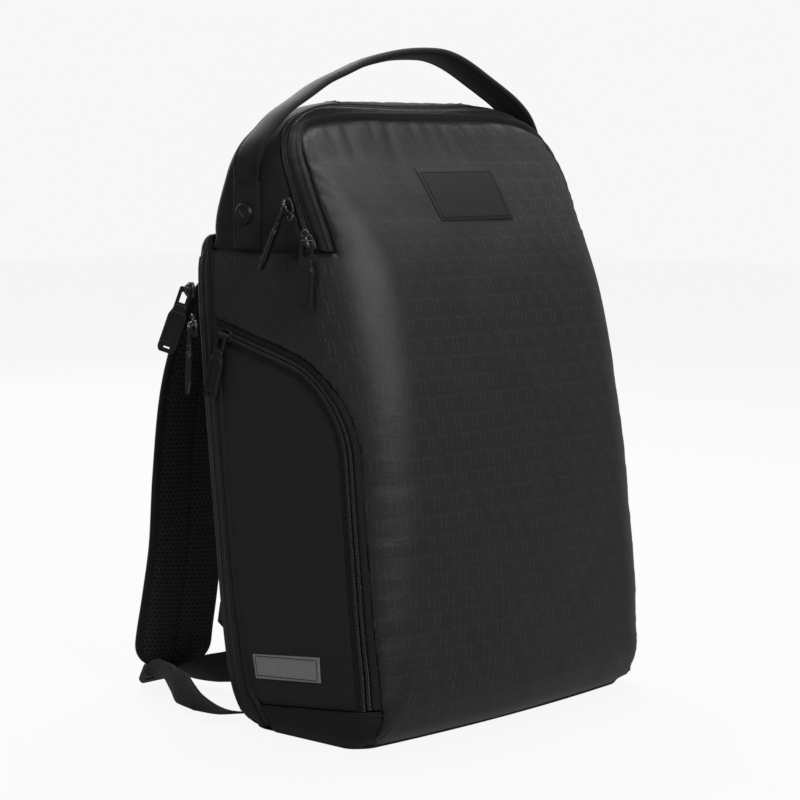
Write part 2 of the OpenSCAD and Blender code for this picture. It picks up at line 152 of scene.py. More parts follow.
def main_pt(s, z, t=0.0):
    """A point of the main body. s runs 0..1 over the front, 1..2 round a front corner, 2..3
    along a side and 3..5 over the back, and is negative on the left; t is the depth inside.
    Heights past the top run on over the crest."""
    s, z, t = np.broadcast_arrays(np.asarray(s, float), z, t)
    over = np.clip((z - TOP_Z) / CAP, 0, 1)
    z = np.minimum(z, TOP_Z)
    t = np.minimum(t, 0.38 * (seam(z) + front(z) - 13.4 * over))
    inset = t + 6 * over
    a = abs(s)
    w = half_width(z) - inset
    f = front(z) - inset * (1 + 0.3 * step(z, 280, 320))
    b = seam(z) - inset
    r = np.maximum(front_radius(z) - t, 2)
    q = np.radians(np.clip(a - 1, 0, 1) * 90)
    x = np.select([a <= 1, a <= 2, a <= 3], [a * (w - r), w - r + r * np.sin(q), w], w * (4 - a))
    y = np.select([a <= 1, a <= 2, a <= 3],
                  [-f, r - f - r * np.cos(q), r - f + (a - 2) * (b + f - r)], b)
    y = np.where(y < 0, y + FRONT_BOW * (x / w) ** 2 * np.minimum(1, -y / np.maximum(f, 1)), y)
    radius = 2 + 8 * step(z, SEAM_Z, SEAM_Z + 8)
    past = np.where(a <= 3, y - b, w - abs(x))
    turn = np.radians((np.clip(past / radius, -1, 1) + 1) * 45)
    near = (abs(past) < radius) & (a > 2)
    x = np.where(near, np.sign(x) * (w - radius + radius * np.cos(turn)), x)
    y = np.where(near, b - radius + radius * np.sin(turn), y)
    z = z + 0.8 * np.sin(over * math.pi / 2) - t * over
    return np.stack([np.where(s < 0, -x, x), y, z], -1)


def side_s(y, z):
    """The s at which a side, or its front corner, is at depth y."""
    s = np.linspace(1, 3, 161)
    rows = main_pt(s[None], np.asarray(z, float)[:, None])[..., 1]
    return np.array([np.interp(v, row, s) for v, row in zip(y, rows)])


def side_pt(yz, t, side):
    """The points of a side's surface at given (y, z), at depth t."""
    return main_pt(side * side_s(yz[:, 0], yz[:, 1]), yz[:, 1], t)


def rear_pt(g, z, t, side):
    """A point of the rear compartment, g millimetres round from the main seam."""
    g, z, t = np.broadcast_arrays(np.asarray(g, float), z, t)
    r = REAR_RADIUS - np.minimum(t, REAR_RADIUS - 2)
    w, b, c = half_width(z) - t, rear(z) - t, seam(z)
    flat, arc = b - r - c, REAR_RADIUS * math.pi / 2
    k = np.clip((g - flat) / arc, 0, 1) * math.pi / 2
    past = np.maximum(g - flat - arc, 0)
    x = np.where(g < flat, w, w - r + r * np.cos(k) - past)
    y = np.where(g < flat, c + g, b - r + r * np.sin(k))
    return np.stack([side * x, y, z], -1)


def gusset(z):
    """Width of the flat strip beside the rear compartment, from the main seam to its zip."""
    return rear(z) - REAR_RADIUS - seam(z)


def to_u(s):
    """How far across the flat cloth s is."""
    return np.sign(s) * np.interp(abs(s), *U_OF_S)


def from_u(u):
    """The s at a place across the flat cloth."""
    return np.sign(u) * np.interp(abs(u), *reversed(U_OF_S))


def lengths(points):
    """How far along a line each of its points is."""
    return np.concatenate([[0], np.cumsum(np.linalg.norm(np.diff(points, axis=0), axis=1))])


def resample(points, spacing):
    """The same line with points evenly spread along it."""
    points = np.asarray(points, float)
    along = lengths(points)
    n = max(2, int(round(along[-1] / spacing)) + 1)
    at = np.linspace(0, along[-1], n)
    return np.stack([np.interp(at, along, points[:, k]) for k in range(points.shape[1])], 1)


def undoubled(points, gap):
    """The points without those that are nearer than a gap to the one before."""
    return points[np.concatenate([[True], np.diff(lengths(points)) > gap])]


def spline(points, n):
    """A smooth curve through given points, with n points along it."""
    p = np.asarray(points, float)
    p = np.vstack([2 * p[0] - p[1], p, 2 * p[-1] - p[-2]])
    u = np.linspace(0, len(p) - 3 - 1e-6, n)
    i = u.astype(int)
    t = (u - i)[:, None]
    a, b, c, d = p[i], p[i + 1], p[i + 2], p[i + 3]
    return 0.5 * (2 * b + (c - a) * t + (2 * a - 5 * b + 4 * c - d) * t**2
                  + (3 * b - a - 3 * c + d) * t**3)


def door_line(d=0.0, spacing=2.5):
    """The side door's zip line moved outwards by d, in (y, z), from the rear seam to the floor."""
    r = DOOR_R + d
    arc = np.array([ARCH_CENTRE + r * direction(a) for a in np.linspace(ARCH_FROM, ARCH_TO, 40)])
    top = [arc[0] + direction(ARCH_FROM - 90) * k for k in range(90, 0, -1)]
    top = [p for p in top if p[0] < seam(p[1]) - 0.4]
    foot = arc[-1] + 175 * direction(ARCH_TO + 90)
    fall = [[foot[0] + 15 * k**2, foot[1] + (0.6 - foot[1]) * k] for k in np.linspace(0, 1, 12)]
    return resample(np.vstack([top, arc, fall]), spacing)


def lid_line(d):
    """The line on the body where the lid's edge plane, moved back by d, cuts it: from its low
    end on the left, over the top, to the right. Returned as (s, z) pairs."""
    low, spacing = 345.2, 2.5
    slope = (LID_HIGH - LID_LOW)[0] / (LID_HIGH - LID_LOW)[1]
    z = np.arange(low, TOP_Z + CAP, 0.1)
    plane = LID_LOW[0] + slope * (z - LID_LOW[1]) + d
    start = side_s([plane[0]], [low])[0]
    pairs = [[start, low]]
    for s in np.linspace(start, 0, 160)[1:]:
        at = main_pt(s, z)
        gap = at[:, 1] - plane - 4.2 * step(abs(at[:, 0]), 10, 110) * step(z, 398, 420)
        hit = np.argmax(gap > 0)
        pairs.append([s, z[hit] if gap.max() > 0 else z[-1]])
    pairs = np.array(pairs)
    points = main_pt(pairs[:, 0], pairs[:, 1])
    along = lengths(points)
    at = np.linspace(0, along[-1], int(330 / spacing))
    half = np.stack([np.interp(at, along, pairs[:, k]) for k in (0, 1)], 1)
    half[:, 1] = np.convolve(np.pad(half[:, 1], 4, mode="reflect", reflect_type="odd"),
                             np.ones(9) / 9, "valid")
    return np.vstack([half * [-1, 1], half[-2::-1]])


def near(points, line):
    """Distance from each point to a line, and how far along the line the nearest place is."""
    a, b = line[:-1], line[1:]
    ab = b - a
    length = np.linalg.norm(ab, axis=1)
    start = np.concatenate([[0], np.cumsum(length)[:-1]])
    best, where = np.empty(len(points)), np.empty(len(points))
    for i in range(0, len(points), 2000):
        p = points[i:i + 2000, None]
        k = np.clip(((p - a) * ab).sum(-1) / np.maximum(length**2, 1e-9), 0, 1)
        gap = np.linalg.norm(p - a - k[..., None] * ab, axis=-1)
        j = gap.argmin(1)
        rows = np.arange(len(j))
        best[i:i + 2000] = gap[rows, j]
        where[i:i + 2000] = start[j] + k[rows, j] * length[j]
    return best, where


def inside(points, outline):
    """Whether each 2D point is inside a closed outline."""
    a, b = outline, np.roll(outline, -1, axis=0)
    odd = np.zeros(len(points), bool)
    for p, q in zip(a, b):
        crosses = (p[1] > points[:, 1]) != (q[1] > points[:, 1])
        if crosses.any():
            x = p[0] + (points[:, 1] - p[1]) * (q[0] - p[0]) / (q[1] - p[1] + 1e-12)
            odd ^= crosses & (points[:, 0] < x)
    return odd


def wave(x, period, seed):
    """A smooth uneven wave along a line, about -1 to 1."""
    rng = np.random.default_rng(seed)
    return sum(np.sin(2 * math.pi * x / (period * k) + rng.uniform(0, 6.28))
               for k in (0.62, 1.0, 1.55, 2.3)) / 2.4


def dents(points, size, seed):
    """Smooth noise over 3D points, about -1 to 1."""
    return np.array([noise.noise(Vector(p) / size + Vector((seed, 2 * seed, 0))) for p in points])


# ---------------------------------------------------------------- meshes

def make(name, verts, faces, looks, body, slot, replaces=(), uv=None, kinds=None, bend=None,
         crease=50, flip=False):
    """A mesh piece, in millimetres. looks are its materials and kinds each face's own. bend is
    (body_a, body_b, start, end) for a piece that crosses a joint: it is not applied, and such a piece is only
    baked in place, on no body."""
    mesh = bpy.data.meshes.new(name)
    mesh.from_pydata((np.asarray(verts) * MM).tolist(), [], [list(map(int, f)) for f in faces])
    for look in looks:
        mesh.materials.append(look)
    if kinds is not None:
        mesh.polygons.foreach_set("material_index", np.asarray(kinds, np.int32))
    if uv is not None:
        layer = mesh.uv_layers.new(name="weave")
        index = np.zeros(len(mesh.loops), np.int32)
        mesh.loops.foreach_get("vertex_index", index)
        layer.data.foreach_set("uv", (np.asarray(uv)[index] * MM).astype(np.float32).ravel())
    mesh.validate()
    mesh.shade_smooth()
    mesh.set_sharp_from_angle(angle=math.radians(crease))
    if flip:
        mesh.flip_normals()
    piece = bpy.data.objects.new(name, mesh)
    bpy.context.scene.collection.objects.link(piece)
    if bend:
        a, b, start, end = bend
        [v * MM for v in start]
        [v * MM for v in end]
        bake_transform(piece)
    else:
        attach(piece, body)
    if replaces:
        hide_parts(*replaces)
    return piece


def grid_faces(m, n, wrap_m=False, wrap_n=False):
    """Quads of a grid of m rows of n points."""
    rows = range(m if wrap_m else m - 1)
    cols = range(n if wrap_n else n - 1)
    return [(i * n + j, i * n + (j + 1) % n, (i + 1) % m * n + (j + 1) % n, (i + 1) % m * n + j)
            for i in rows for j in cols]


def loft(rows, ring=False):
    """A closed solid through a loop of rows of points. ring says that the rows close too."""
    rows = np.asarray(rows)
    m, n = rows.shape[:2]
    faces = grid_faces(m, n, wrap_m=True, wrap_n=ring)
    if not ring:
        faces += [tuple(i * n for i in range(m)), tuple(i * n + n - 1 for i in reversed(range(m)))]
    u = lengths(rows[0])
    v = lengths(rows.mean(1))
    uv = np.stack(np.broadcast_arrays(u[None], v[:, None]), -1).reshape(-1, 2)
    verts = rows.reshape(-1, 3)
    centre = rows.mean(0)
    k = n // 2
    normal = np.cross(rows[0, k] - rows[0, k - 1], rows[1, k] - rows[0, k])
    outward = (rows[0, k] + rows[1, k]) / 2 - centre[k]
    if np.dot(normal, outward) < 0:
        faces = [tuple(reversed(f)) for f in faces]
    return verts, faces, uv


def sweep(name, path, profile, *args, **kw):
    """A solid along path(d, t), a line at sideways offset d and depth t, for a loop of (d, t)."""
    verts, faces, uv = loft([path(d, t) for d, t in profile])
    return make(name, verts, faces, *args, uv=uv, **kw)


def tube_profile(d, t, radius, n):
    """A round section of n sides about (d, t)."""
    return [(d + radius * math.cos(a), t + radius * math.sin(a))
            for a in turns(n)]


def strip_profile(d0, d1, t0, t1, crown=0.0, n=8):
    """A flat band from offset d0 to d1 between depths t0 and t1, crowned outwards."""
    k = np.linspace(0, 1, n)
    over = [(d0 + (d1 - d0) * a, t0 - crown * math.sin(math.pi * a) ** 0.7) for a in k]
    under = [(d0 + (d1 - d0) * a, t1) for a in k[::-1]]
    return over + under


def fill(outline, spacing):
    """Triangles over the inside of a 2D outline."""
    outline = np.asarray(outline, float)
    lo, hi = outline.min(0), outline.max(0)
    ys = np.arange(lo[1], hi[1], spacing * 0.87)
    grid = np.array([[x + (i % 2) * spacing / 2, y] for i, y in enumerate(ys)
                     for x in np.arange(lo[0], hi[0], spacing)])
    loop = np.vstack([outline, outline[:1]])
    grid = grid[inside(grid, outline)]
    grid = grid[near(grid, loop)[0] > spacing * 0.55]
    points = [Vector(p) for p in np.vstack([outline, grid])]
    found = delaunay_2d_cdt(points, [], [list(range(len(outline)))], 1, 1e-7)
    return np.array([list(v) for v in found[0]]), [tuple(f) for f in found[2]]


def thick(faces, outer, inner):
    """Closes an outer and an inner skin into one solid. Returns vertices, faces and kinds."""
    n = len(outer)
    edges = {(f[i], f[(i + 1) % len(f)]) for f in faces for i in range(len(f))}
    rim = [(b, a, n + a, n + b) for a, b in edges if (b, a) not in edges]
    rim.sort()
    back = [tuple(n + i for i in reversed(f)) for f in faces]
    kinds = [0] * len(faces) + [1] * len(back) + [0] * len(rim)
    return np.vstack([outer, inner]), list(faces) + back + rim, kinds


def sheet(outer, inner):
    """A solid between two skins, each a grid of rows of points."""
    return thick(grid_faces(*outer.shape[:2]), outer.reshape(-1, 3), inner.reshape(-1, 3))


def stack(ring, layers):
    """A solid from one ring of points, scaled about its middle and raised to z, for each (scale, z)."""
    centre, n = ring.mean(0), len(ring)
    rows = []
    for k, z in layers:
        row = centre + (ring - centre) * k
        row[:, 2] = z
        rows.append(row)
    faces = grid_faces(len(rows), n, wrap_n=True)
    faces += [tuple(reversed(range(n))), tuple((len(rows) - 1) * n + i for i in range(n))]
    return np.vstack(rows), faces


def whole_faces(faces):
    """The faces with each corner named once, so that a doubled corner leaves a triangle."""
    return [tuple(dict.fromkeys(f)) for f in faces]


def scatter(shape, places, x_axes, y_axes, z_axes):
    """Copies of a small shape (vertices, faces), one at each place with its own axes."""
    verts, faces = shape
    n = len(verts)
    out = (places[:, None] + verts[None, :, :1] * x_axes[:, None] + verts[None, :, 1:2] * y_axes[:, None]
           + verts[None, :, 2:] * z_axes[:, None])
    index = (np.arange(len(places))[:, None, None] * n + np.array(faces)[None]).reshape(-1, len(faces[0]))
    return out.reshape(-1, 3), index.tolist()


def bead(length, width, height, n=6):
    """A small rounded bar along X, of quads."""
    rings = [(-0.5, 0.35), (-0.42, 0.8), (0, 1), (0.42, 0.8), (0.5, 0.35)]
    verts = np.array([[x * length, k * width / 2 * math.cos(a), k * height / 2 * math.sin(a)]
                      for x, k in rings for a in turns(n)])
    faces = grid_faces(len(rings), n, wrap_n=True)
    last = (len(rings) - 1) * n
    for start, order in ((0, -1), (last, 1)):
        ring = [start + i for i in range(n)][::order]
        faces += [(ring[0], ring[i], ring[i + 1], ring[i + 1]) for i in range(1, n - 1)]
    return verts, faces


def surface_axes(points, above):
    """Along, across and outward directions of a line on a surface, from the line raised a bit."""
    tangent = unit(np.gradient(points, axis=0))
    normal = unit(above - points)
    normal = unit(normal - (normal * tangent).sum(1, keepdims=True) * tangent)
    return tangent, np.cross(normal, tangent), normal


def stitches(name, lines, look, body, slot, pitch=3.4, **kw):
    """Rows of thread stitches. Each line is (points, the same points raised a little)."""
    verts, faces, count = [], [], 0
    shape = bead(pitch * 0.72, 0.6, 0.5)
    for points, above in lines:
        line = resample(np.hstack([points, above]), pitch)
        p, q = line[:, :3], line[:, 3:]
        t, s, n = surface_axes(p, q)
        v, f = scatter(shape, p, t, s, n)
        verts.append(v)
        faces += [[i + count for i in face] for face in f]
        count += len(v)
    return make(name, np.vstack(verts), whole_faces(faces), [look], body, slot, **kw)


def zip_teeth(name, path, sign, body, d=0.25, **kw):
    """One coil of a zip: small bars across path, on the side given by sign."""
    base, above = path(sign * (d + 1.5), 1.15), path(sign * (d + 1.5), 0.15)
    line = resample(np.hstack([base, above]), 1.7)
    if sign > 0:
        line = (line[:-1] + line[1:]) / 2
    p, q = line[:, :3], line[:, 3:]
    t, s, n = surface_axes(p, q)
    v, f = scatter(bead(2.9, 1.15, 1.5), p, s, t, n)
    return make(name, v, whole_faces(f), [COIL], body, "zip_tape", **kw)


# ---------------------------------------------------------------- materials

class Nodes:
    """Short calls for building a material's nodes."""

    def __init__(self, name, rough, specular=0.5, sheen=0.0, metallic=0.0):
        self.material = bpy.data.materials.new(name)
        self.material.use_nodes = True
        self.tree = self.material.node_tree
        self.shader = self.tree.nodes["Principled BSDF"]
        self.shader.inputs["Roughness"].default_value = rough
        self.shader.inputs["Specular IOR Level"].default_value = specular
        self.shader.inputs["Sheen Weight"].default_value = sheen
        self.shader.inputs["Metallic"].default_value = metallic

    def add(self, kind, **values):
        node = self.tree.nodes.new(kind)
        for key, value in values.items():
            if hasattr(node, key):
                setattr(node, key, value)
            else:
                self.feed(node.inputs[key.replace("_", " ")], value)
        return node

    def feed(self, socket, value):
        if hasattr(value, "links"):
            self.tree.links.new(value, socket)
        elif isinstance(value, (tuple, list)) and len(value) == 3 and socket.type == "RGBA":
            socket.default_value = (*value, 1)
        else:
            socket.default_value = value

    def math(self, operation, a, b=0.0, c=0.0):
        node = self.tree.nodes.new("ShaderNodeMath")
        node.operation = operation
        for socket, value in zip(node.inputs, (a, b, c)):
            self.feed(socket, value)
        return node.outputs[0]

    def ribs(self, x, period, y=0.0):
        """A sine along x with this period, its phase pushed along by y."""
        return self.math("SINE", self.math("ADD", self.math("MULTIPLY", x, 2 * math.pi / period), y))

    def blend(self, a, k, b):
        """a plus k times b."""
        return self.math("MULTIPLY_ADD", b, k, a)

    def place(self, uv=True):
        """Position in millimetres: along the cloth where the piece has a weave map."""
        if uv:
            source = self.add("ShaderNodeUVMap", uv_map="weave").outputs["UV"]
        else:
            source = self.add("ShaderNodeTexCoord").outputs["Object"]
        node = self.add("ShaderNodeVectorMath", operation="SCALE")
        self.feed(node.inputs[0], source)
        node.inputs["Scale"].default_value = 1000
        return node.outputs[0]

    def split(self, vector):
        node = self.add("ShaderNodeSeparateXYZ")
        self.feed(node.inputs[0], vector)
        return node.outputs

    def noise(self, vector, size, detail=2.0):
        node = self.add("ShaderNodeTexNoise", Detail=detail)
        self.feed(node.inputs["Vector"], vector)
        node.inputs["Scale"].default_value = 1 / size
        return node.outputs["Fac"]

    def line(self, x, period, width, offset=0.0):
        """1 on thin lines a period apart, 0 between."""
        inner = self.math("FRACT", self.math("ADD", self.math("MULTIPLY", x, 1 / period), offset))
        gap = self.math("ABSOLUTE", self.math("SUBTRACT", inner, 0.5))
        return self.math("LESS_THAN", self.math("SUBTRACT", 0.5, gap), width / period / 2)

    def ramp(self, value, low, high, **values):
        """0 where value is low, 1 where it is high."""
        node = self.add("ShaderNodeMapRange", Value=value, From_Min=low, From_Max=high, **values)
        return node.outputs["Result"]

    def mix(self, factor, a, b):
        node = self.add("ShaderNodeMix", data_type="RGBA")
        self.feed(node.inputs["Factor"], factor)
        self.feed(node.inputs[6], a)
        self.feed(node.inputs[7], b)
        return node.outputs[2]

    def colour(self, value):
        self.feed(self.shader.inputs["Base Color"], value)

    def rough(self, value):
        self.feed(self.shader.inputs["Roughness"], value)

    def bump(self, height, strength, distance_mm, below=None):
        node = self.add("ShaderNodeBump")
        node.inputs["Strength"].default_value = strength
        node.inputs["Distance"].default_value = distance_mm * MM
        self.feed(node.inputs["Height"], height)
        if below is not None:
            self.feed(node.inputs["Normal"], below)
        self.feed(self.shader.inputs["Normal"], node.outputs["Normal"])
        return node.outputs["Normal"]

    def done(self):
        return self.material


def grey(value, blue=1.04):
    """A grey, a touch blue unless told otherwise."""
    return (value, value, value * blue)


def weave_height(n, u, v, pitch):
    """A twill: diagonal ribs broken by the threads that cross them."""
    ribs, cross = n.ribs(n.blend(u, 0.6, v), pitch), n.ribs(v, pitch * 0.7)
    return n.blend(n.math("MULTIPLY", ribs, 0.6), 0.4, cross)


def ripstop():
    """Satin nylon with a fine twill and a raised grid: rows of paired upright threads."""
    n = Nodes("ripstop_nylon", 0.46, specular=0.42, sheen=0.04)
    place = n.place()
    u, v, _ = n.split(place)
    cell, row = 17.0, 13.5
    level = n.math("FLOOR", n.math("DIVIDE", v, row))
    shifted = n.blend(u, cell * 0.37, level)
    first = n.line(shifted, cell, 0.6)
    second = n.line(n.math("ADD", shifted, 4.4), cell, 0.6)
    reach = n.line(n.blend(v, 6.0, n.noise(place, 20)), row, row * 0.78)
    upright = n.math("MULTIPLY", n.math("MAXIMUM", first, second), reach)
    grid = n.math("MAXIMUM", upright, n.math("MULTIPLY", n.line(v, row, 0.5), 0.28))
    fine = weave_height(n, u, v, 1.2)
    cloud = n.noise(place, 45, 3)
    n.colour(n.mix(grid, n.mix(cloud, grey(0.0085), grey(0.0125)), grey(0.028)))
    n.rough(n.blend(0.40, 0.12, cloud))
    n.bump(n.blend(grid, 0.35, fine), 0.6, 0.22, n.bump(n.noise(place, 9, 3), 0.35, 0.5))
    return n.done()


def softshell():
    """Smooth bonded fabric with a faint nap."""
    n = Nodes("softshell", 0.62, specular=0.26, sheen=0.1)
    place = n.place(uv=False)
    nap = n.noise(place, 0.9, 3)
    cloud = n.noise(place, 38, 2)
    n.colour(n.mix(cloud, grey(0.0065), grey(0.010)))
    n.rough(n.blend(0.6, 0.14, nap))
    n.bump(nap, 0.28, 0.12)
    return n.done()


def plain_weave(name, light, pitch, rough=0.62, strength=0.6):
    """A woven tape or webbing: ribs along it and threads across it."""
    n = Nodes(name, rough, specular=0.24, sheen=0.02)
    place = n.place()
    u, v, _ = n.split(place)
    ribs = n.ribs(v, pitch)
    cross = n.ribs(u, pitch * 1.3, n.math("MULTIPLY", ribs, 1.2))
    fuzz = n.noise(place, 3.0, 3)
    n.colour(n.mix(fuzz, grey(light), grey(light + 0.004)))
    n.rough(n.blend(rough - 0.05, 0.12, fuzz))
    n.bump(n.blend(n.math("MULTIPLY", ribs, 0.6), 0.5, cross), strength, 0.25)
    return n.done()


def base_fabric():
    """Tough coated fabric of the foot of the bag, with a pebbled coat."""
    n = Nodes("coated_base_fabric", 0.58, specular=0.26)
    place = n.place(uv=False)
    pebble = n.add("ShaderNodeTexVoronoi", Scale=1 / 1.3)
    n.feed(pebble.inputs["Vector"], place)
    cloud = n.noise(place, 30, 2)
    n.colour(n.mix(cloud, grey(0.0065), grey(0.0095)))
    n.bump(pebble.outputs["Distance"], 0.4, 0.18)
    return n.done()


def air_mesh():
    """Spacer mesh: a net of small round holes over a darker ground."""
    n = Nodes("air_mesh", 0.75, specular=0.2, sheen=0.05)
    place = n.place()
    u, v, _ = n.split(place)
    pitch = 3.9
    row = n.math("FLOOR", n.math("DIVIDE", v, pitch * 0.87))
    half = n.math("MULTIPLY", n.math("MODULO", row, 2.0), pitch / 2)
    a = n.math("SUBTRACT", n.math("FRACT", n.math("DIVIDE", n.math("ADD", u, half), pitch)), 0.5)
    b = n.math("SUBTRACT", n.math("FRACT", n.math("DIVIDE", v, pitch * 0.87)), 0.5)
    away = n.math("SQRT", n.math("ADD", n.math("MULTIPLY", a, a), n.math("MULTIPLY", b, b)))
    net = n.ramp(away, 0.22, 0.40, interpolation_type="SMOOTHSTEP")
    fuzz = n.noise(place, 1.2, 2)
    n.colour(n.mix(net, grey(0.010), n.mix(fuzz, grey(0.027), grey(0.04))))
    n.bump(n.blend(net, 0.3, fuzz), 0.9, 0.7)
    return n.done()


def lining():
    """Light grey brushed lining with a small grid."""
    n = Nodes("brushed_lining", 0.7, specular=0.3, sheen=0.25)
    place = n.place(uv=False)
    x, y, z = n.split(place)
    grid = n.math("MAXIMUM", n.line(n.math("ADD", x, y), 4.0, 0.35), n.line(z, 4.0, 0.35))
    fuzz = n.noise(place, 1.5, 3)
    n.colour(n.mix(grid, n.mix(fuzz, grey(0.06), grey(0.085)), grey(0.05)))
    n.bump(n.blend(fuzz, 0.5, grid), 0.4, 0.2)
    return n.done()


def gunmetal(name, light, rough=0.34):
    """Dark plated metal, cast, with a painted highlight: its colour is lighter along its sharp edges."""
    n = Nodes(name, rough, specular=0.5, metallic=0.6)
    place = n.place(uv=False)
    cast = n.noise(place, 0.8, 3)
    edge = n.add("ShaderNodeNewGeometry").outputs["Pointiness"]
    # Painted highlight: sharp edges, found by their pointiness, are coloured light grey to stand in for the
    # light they catch.
    n.colour(n.mix(n.ramp(edge, 0.53, 0.62), n.mix(cast, grey(light), grey(light * 1.5)), grey(0.22)))
    n.rough(n.blend(rough - 0.06, 0.14, cast))
    n.bump(cast, 0.25, 0.08)
    return n.done()


def moulded(name, light, rough=0.42):
    """Moulded plastic or rubber with a fine spark texture."""
    n = Nodes(name, rough, specular=0.32)
    place = n.place(uv=False)
    spark = n.noise(place, 0.5, 2)
    cloud = n.noise(place, 12, 2)
    n.colour(n.mix(cloud, grey(light), grey(light * 1.35)))
    n.rough(n.blend(rough - 0.05, 0.12, spark))
    n.bump(spark, 0.3, 0.06)
    return n.done()


def reflective():
    """Silver grey reflective tape of fine glass beads."""
    n = Nodes("reflective_tape", 0.5, specular=0.5, metallic=0.15)
    place = n.place(uv=False)
    beads = n.noise(place, 0.35, 2)
    cloud = n.noise(place, 6, 2)
    n.colour(n.mix(cloud, grey(0.24, 1.0), grey(0.30, 1.0)))
    n.bump(beads, 0.3, 0.06)
    return n.done()


RIPSTOP, SOFTSHELL, BASE, MESH, LINING = ripstop(), softshell(), base_fabric(), air_mesh(), lining()
TAPE = plain_weave("zip_tape_weave", 0.0065, 0.9)
COIL = moulded("zip_coil", 0.03, 0.3)
WEBBING = plain_weave("webbing_weave", 0.008, 1.5, rough=0.55, strength=0.8)
BINDING = plain_weave("binding_weave", 0.0085, 1.0, rough=0.6, strength=0.5)
THREAD = plain_weave("thread", 0.013, 0.5, rough=0.55)
DARK_THREAD = plain_weave("thread_dark", 0.012, 0.5, rough=0.6)
METAL = gunmetal("gunmetal", 0.013)
DARK_METAL = gunmetal("dark_gunmetal", 0.014, 0.42)
PLASTIC = moulded("moulded_plastic", 0.05)
RUBBER = moulded("rubber_patch", 0.008, 0.5)
TAG = reflective()


# ---------------------------------------------------------------- paths on the body

def side_path(line, side):
    """path(d, t) for a (y, z) line on a side. Positive d is to the outside of the door."""
    tangent = unit(np.gradient(line, axis=0))
    out = np.stack([tangent[:, 1], -tangent[:, 0]], 1)

    def path(d, t):
        return side_pt(line + out * d, t, side)
    return path


def door_path(side):
    """path(d, t) along the side door's zip, at offset d outwards from it."""
    count = len(door_line())

    def path(d, t):
        line = door_line(d, 1.0)
        at = np.linspace(0, len(line) - 1, count)
        line = np.stack([np.interp(at, np.arange(len(line)), line[:, k]) for k in (0, 1)], 1)
        line = line[line[:, 1] > 0]
        return side_pt(line, t, side)
    return path


def evened(points, passes=8):
    """A line whose points are smoothed along it, with its ends kept."""
    points = np.array(points, float)
    for _ in range(passes):
        points[1:-1] = points[1:-1] * 0.5 + (points[:-2] + points[2:]) * 0.25
    return points


def band_lines():
    """The lid's edge, the middle of the zip band behind it and the band's far edge, point for
    point, with the far edge's (s, z). Each is a true distance behind the last on the body."""
    s, z = np.meshgrid(np.linspace(-3, 0, 500), np.linspace(SEAM_Z + 1, TOP_Z + CAP, 320))
    s, z = s.ravel(), z.ravel()
    skin = main_pt(s, z)

    def nearest(points):
        return np.array([((skin - p) ** 2).sum(1).argmin() for p in points])
    half = lid_line(0)
    edge = evened(main_pt(half[:, 0], half[:, 1]))[:len(half) // 2 + 1]
    at = nearest(edge)
    along_s = main_pt(s[at] + 0.01, z[at]) - main_pt(s[at] - 0.01, z[at])
    along_z = main_pt(s[at], z[at] + 0.5) - main_pt(s[at], z[at] - 0.5)
    back = unit(np.cross(unit(np.cross(along_s, along_z)), unit(np.gradient(edge, axis=0))))
    back *= np.sign(back[:, 1:2])
    back = evened(back, 20)
    low = 1 - step(edge[:, 2:], SEAM_Z, SEAM_Z + 30)
    back = unit(back * (1 - low) + low * [-0.2, 1, 0])
    middle = evened(skin[nearest(edge + back * BAND / 2)])
    at = nearest(middle + unit(middle - edge) * BAND / 2)
    far_sz = evened(np.stack([s[at], z[at]], 1), 24)
    far = main_pt(far_sz[:, 0], far_sz[:, 1])
    whole = [np.vstack([line, (line * [-1, 1, 1])[-2::-1]]) for line in (edge, middle, far)]
    return (*whole, far_sz)


LID_EDGE, BAND_MIDDLE, BAND_FAR, FAR_SZ = band_lines()


def lid_path(d, t):
    """path(d, t) round the lid: d back from its edge over the zip band, t the depth."""
    k = d / BAND
    line = LID_EDGE * (2 * k - 1) * (k - 1) + BAND_MIDDLE * 4 * k * (1 - k) + BAND_FAR * k * (2 * k - 1)
    across = LID_EDGE * (4 * k - 3) + BAND_MIDDLE * (4 - 8 * k) + BAND_FAR * (4 * k - 1)
    inward = unit(np.cross(np.gradient(line, axis=0), across))
    towards = [0, 10, 330] - line
    return line + inward * t * np.sign((inward * towards).sum(1, keepdims=True))


def rear_zip_path(side):
    """path(d, t) up the rear compartment's zip, with d towards the back."""
    z = np.linspace(8, 342.5, 150)

    def path(d, t):
        return rear_pt(gusset(z) + d, z, t, side)
    return path


# ---------------------------------------------------------------- front, lid and sides

def to_flat(yz):
    """(y, z) of the left side as positive (u, z)."""
    yz = np.asarray(yz, float)
    return np.stack([to_u(side_s(yz[:, 0], yz[:, 1])), yz[:, 1]], 1)


SPLIT_Y = LID_LOW[0] - LID_INSET
door_edge = door_line(TAPE_OUT)
door_flat = to_flat(door_edge)
split_at = int(np.argmax(door_edge[:, 0] < SPLIT_Y))
split_line = to_flat([[SPLIT_Y, z] for z in np.linspace(door_edge[split_at, 1], UNDER_SEAM, 60)])
lid_edge = lid_line(-LID_INSET)
lid_half = np.stack([abs(to_u(lid_edge[:, 0])), lid_edge[:, 1]], 1)[:len(lid_edge) // 2 + 1]
seam_flat = to_flat([[y, UNDER_SEAM] for y in np.linspace(65.6, SPLIT_Y, 45)])
rear_flat = np.array([[REAR_U, z] for z in np.linspace(288, UNDER_SEAM, 24)])
SEWN = [door_flat, seam_flat, lid_half, rear_flat, np.array([[0, FOOT_Z], [170, FOOT_Z]])]


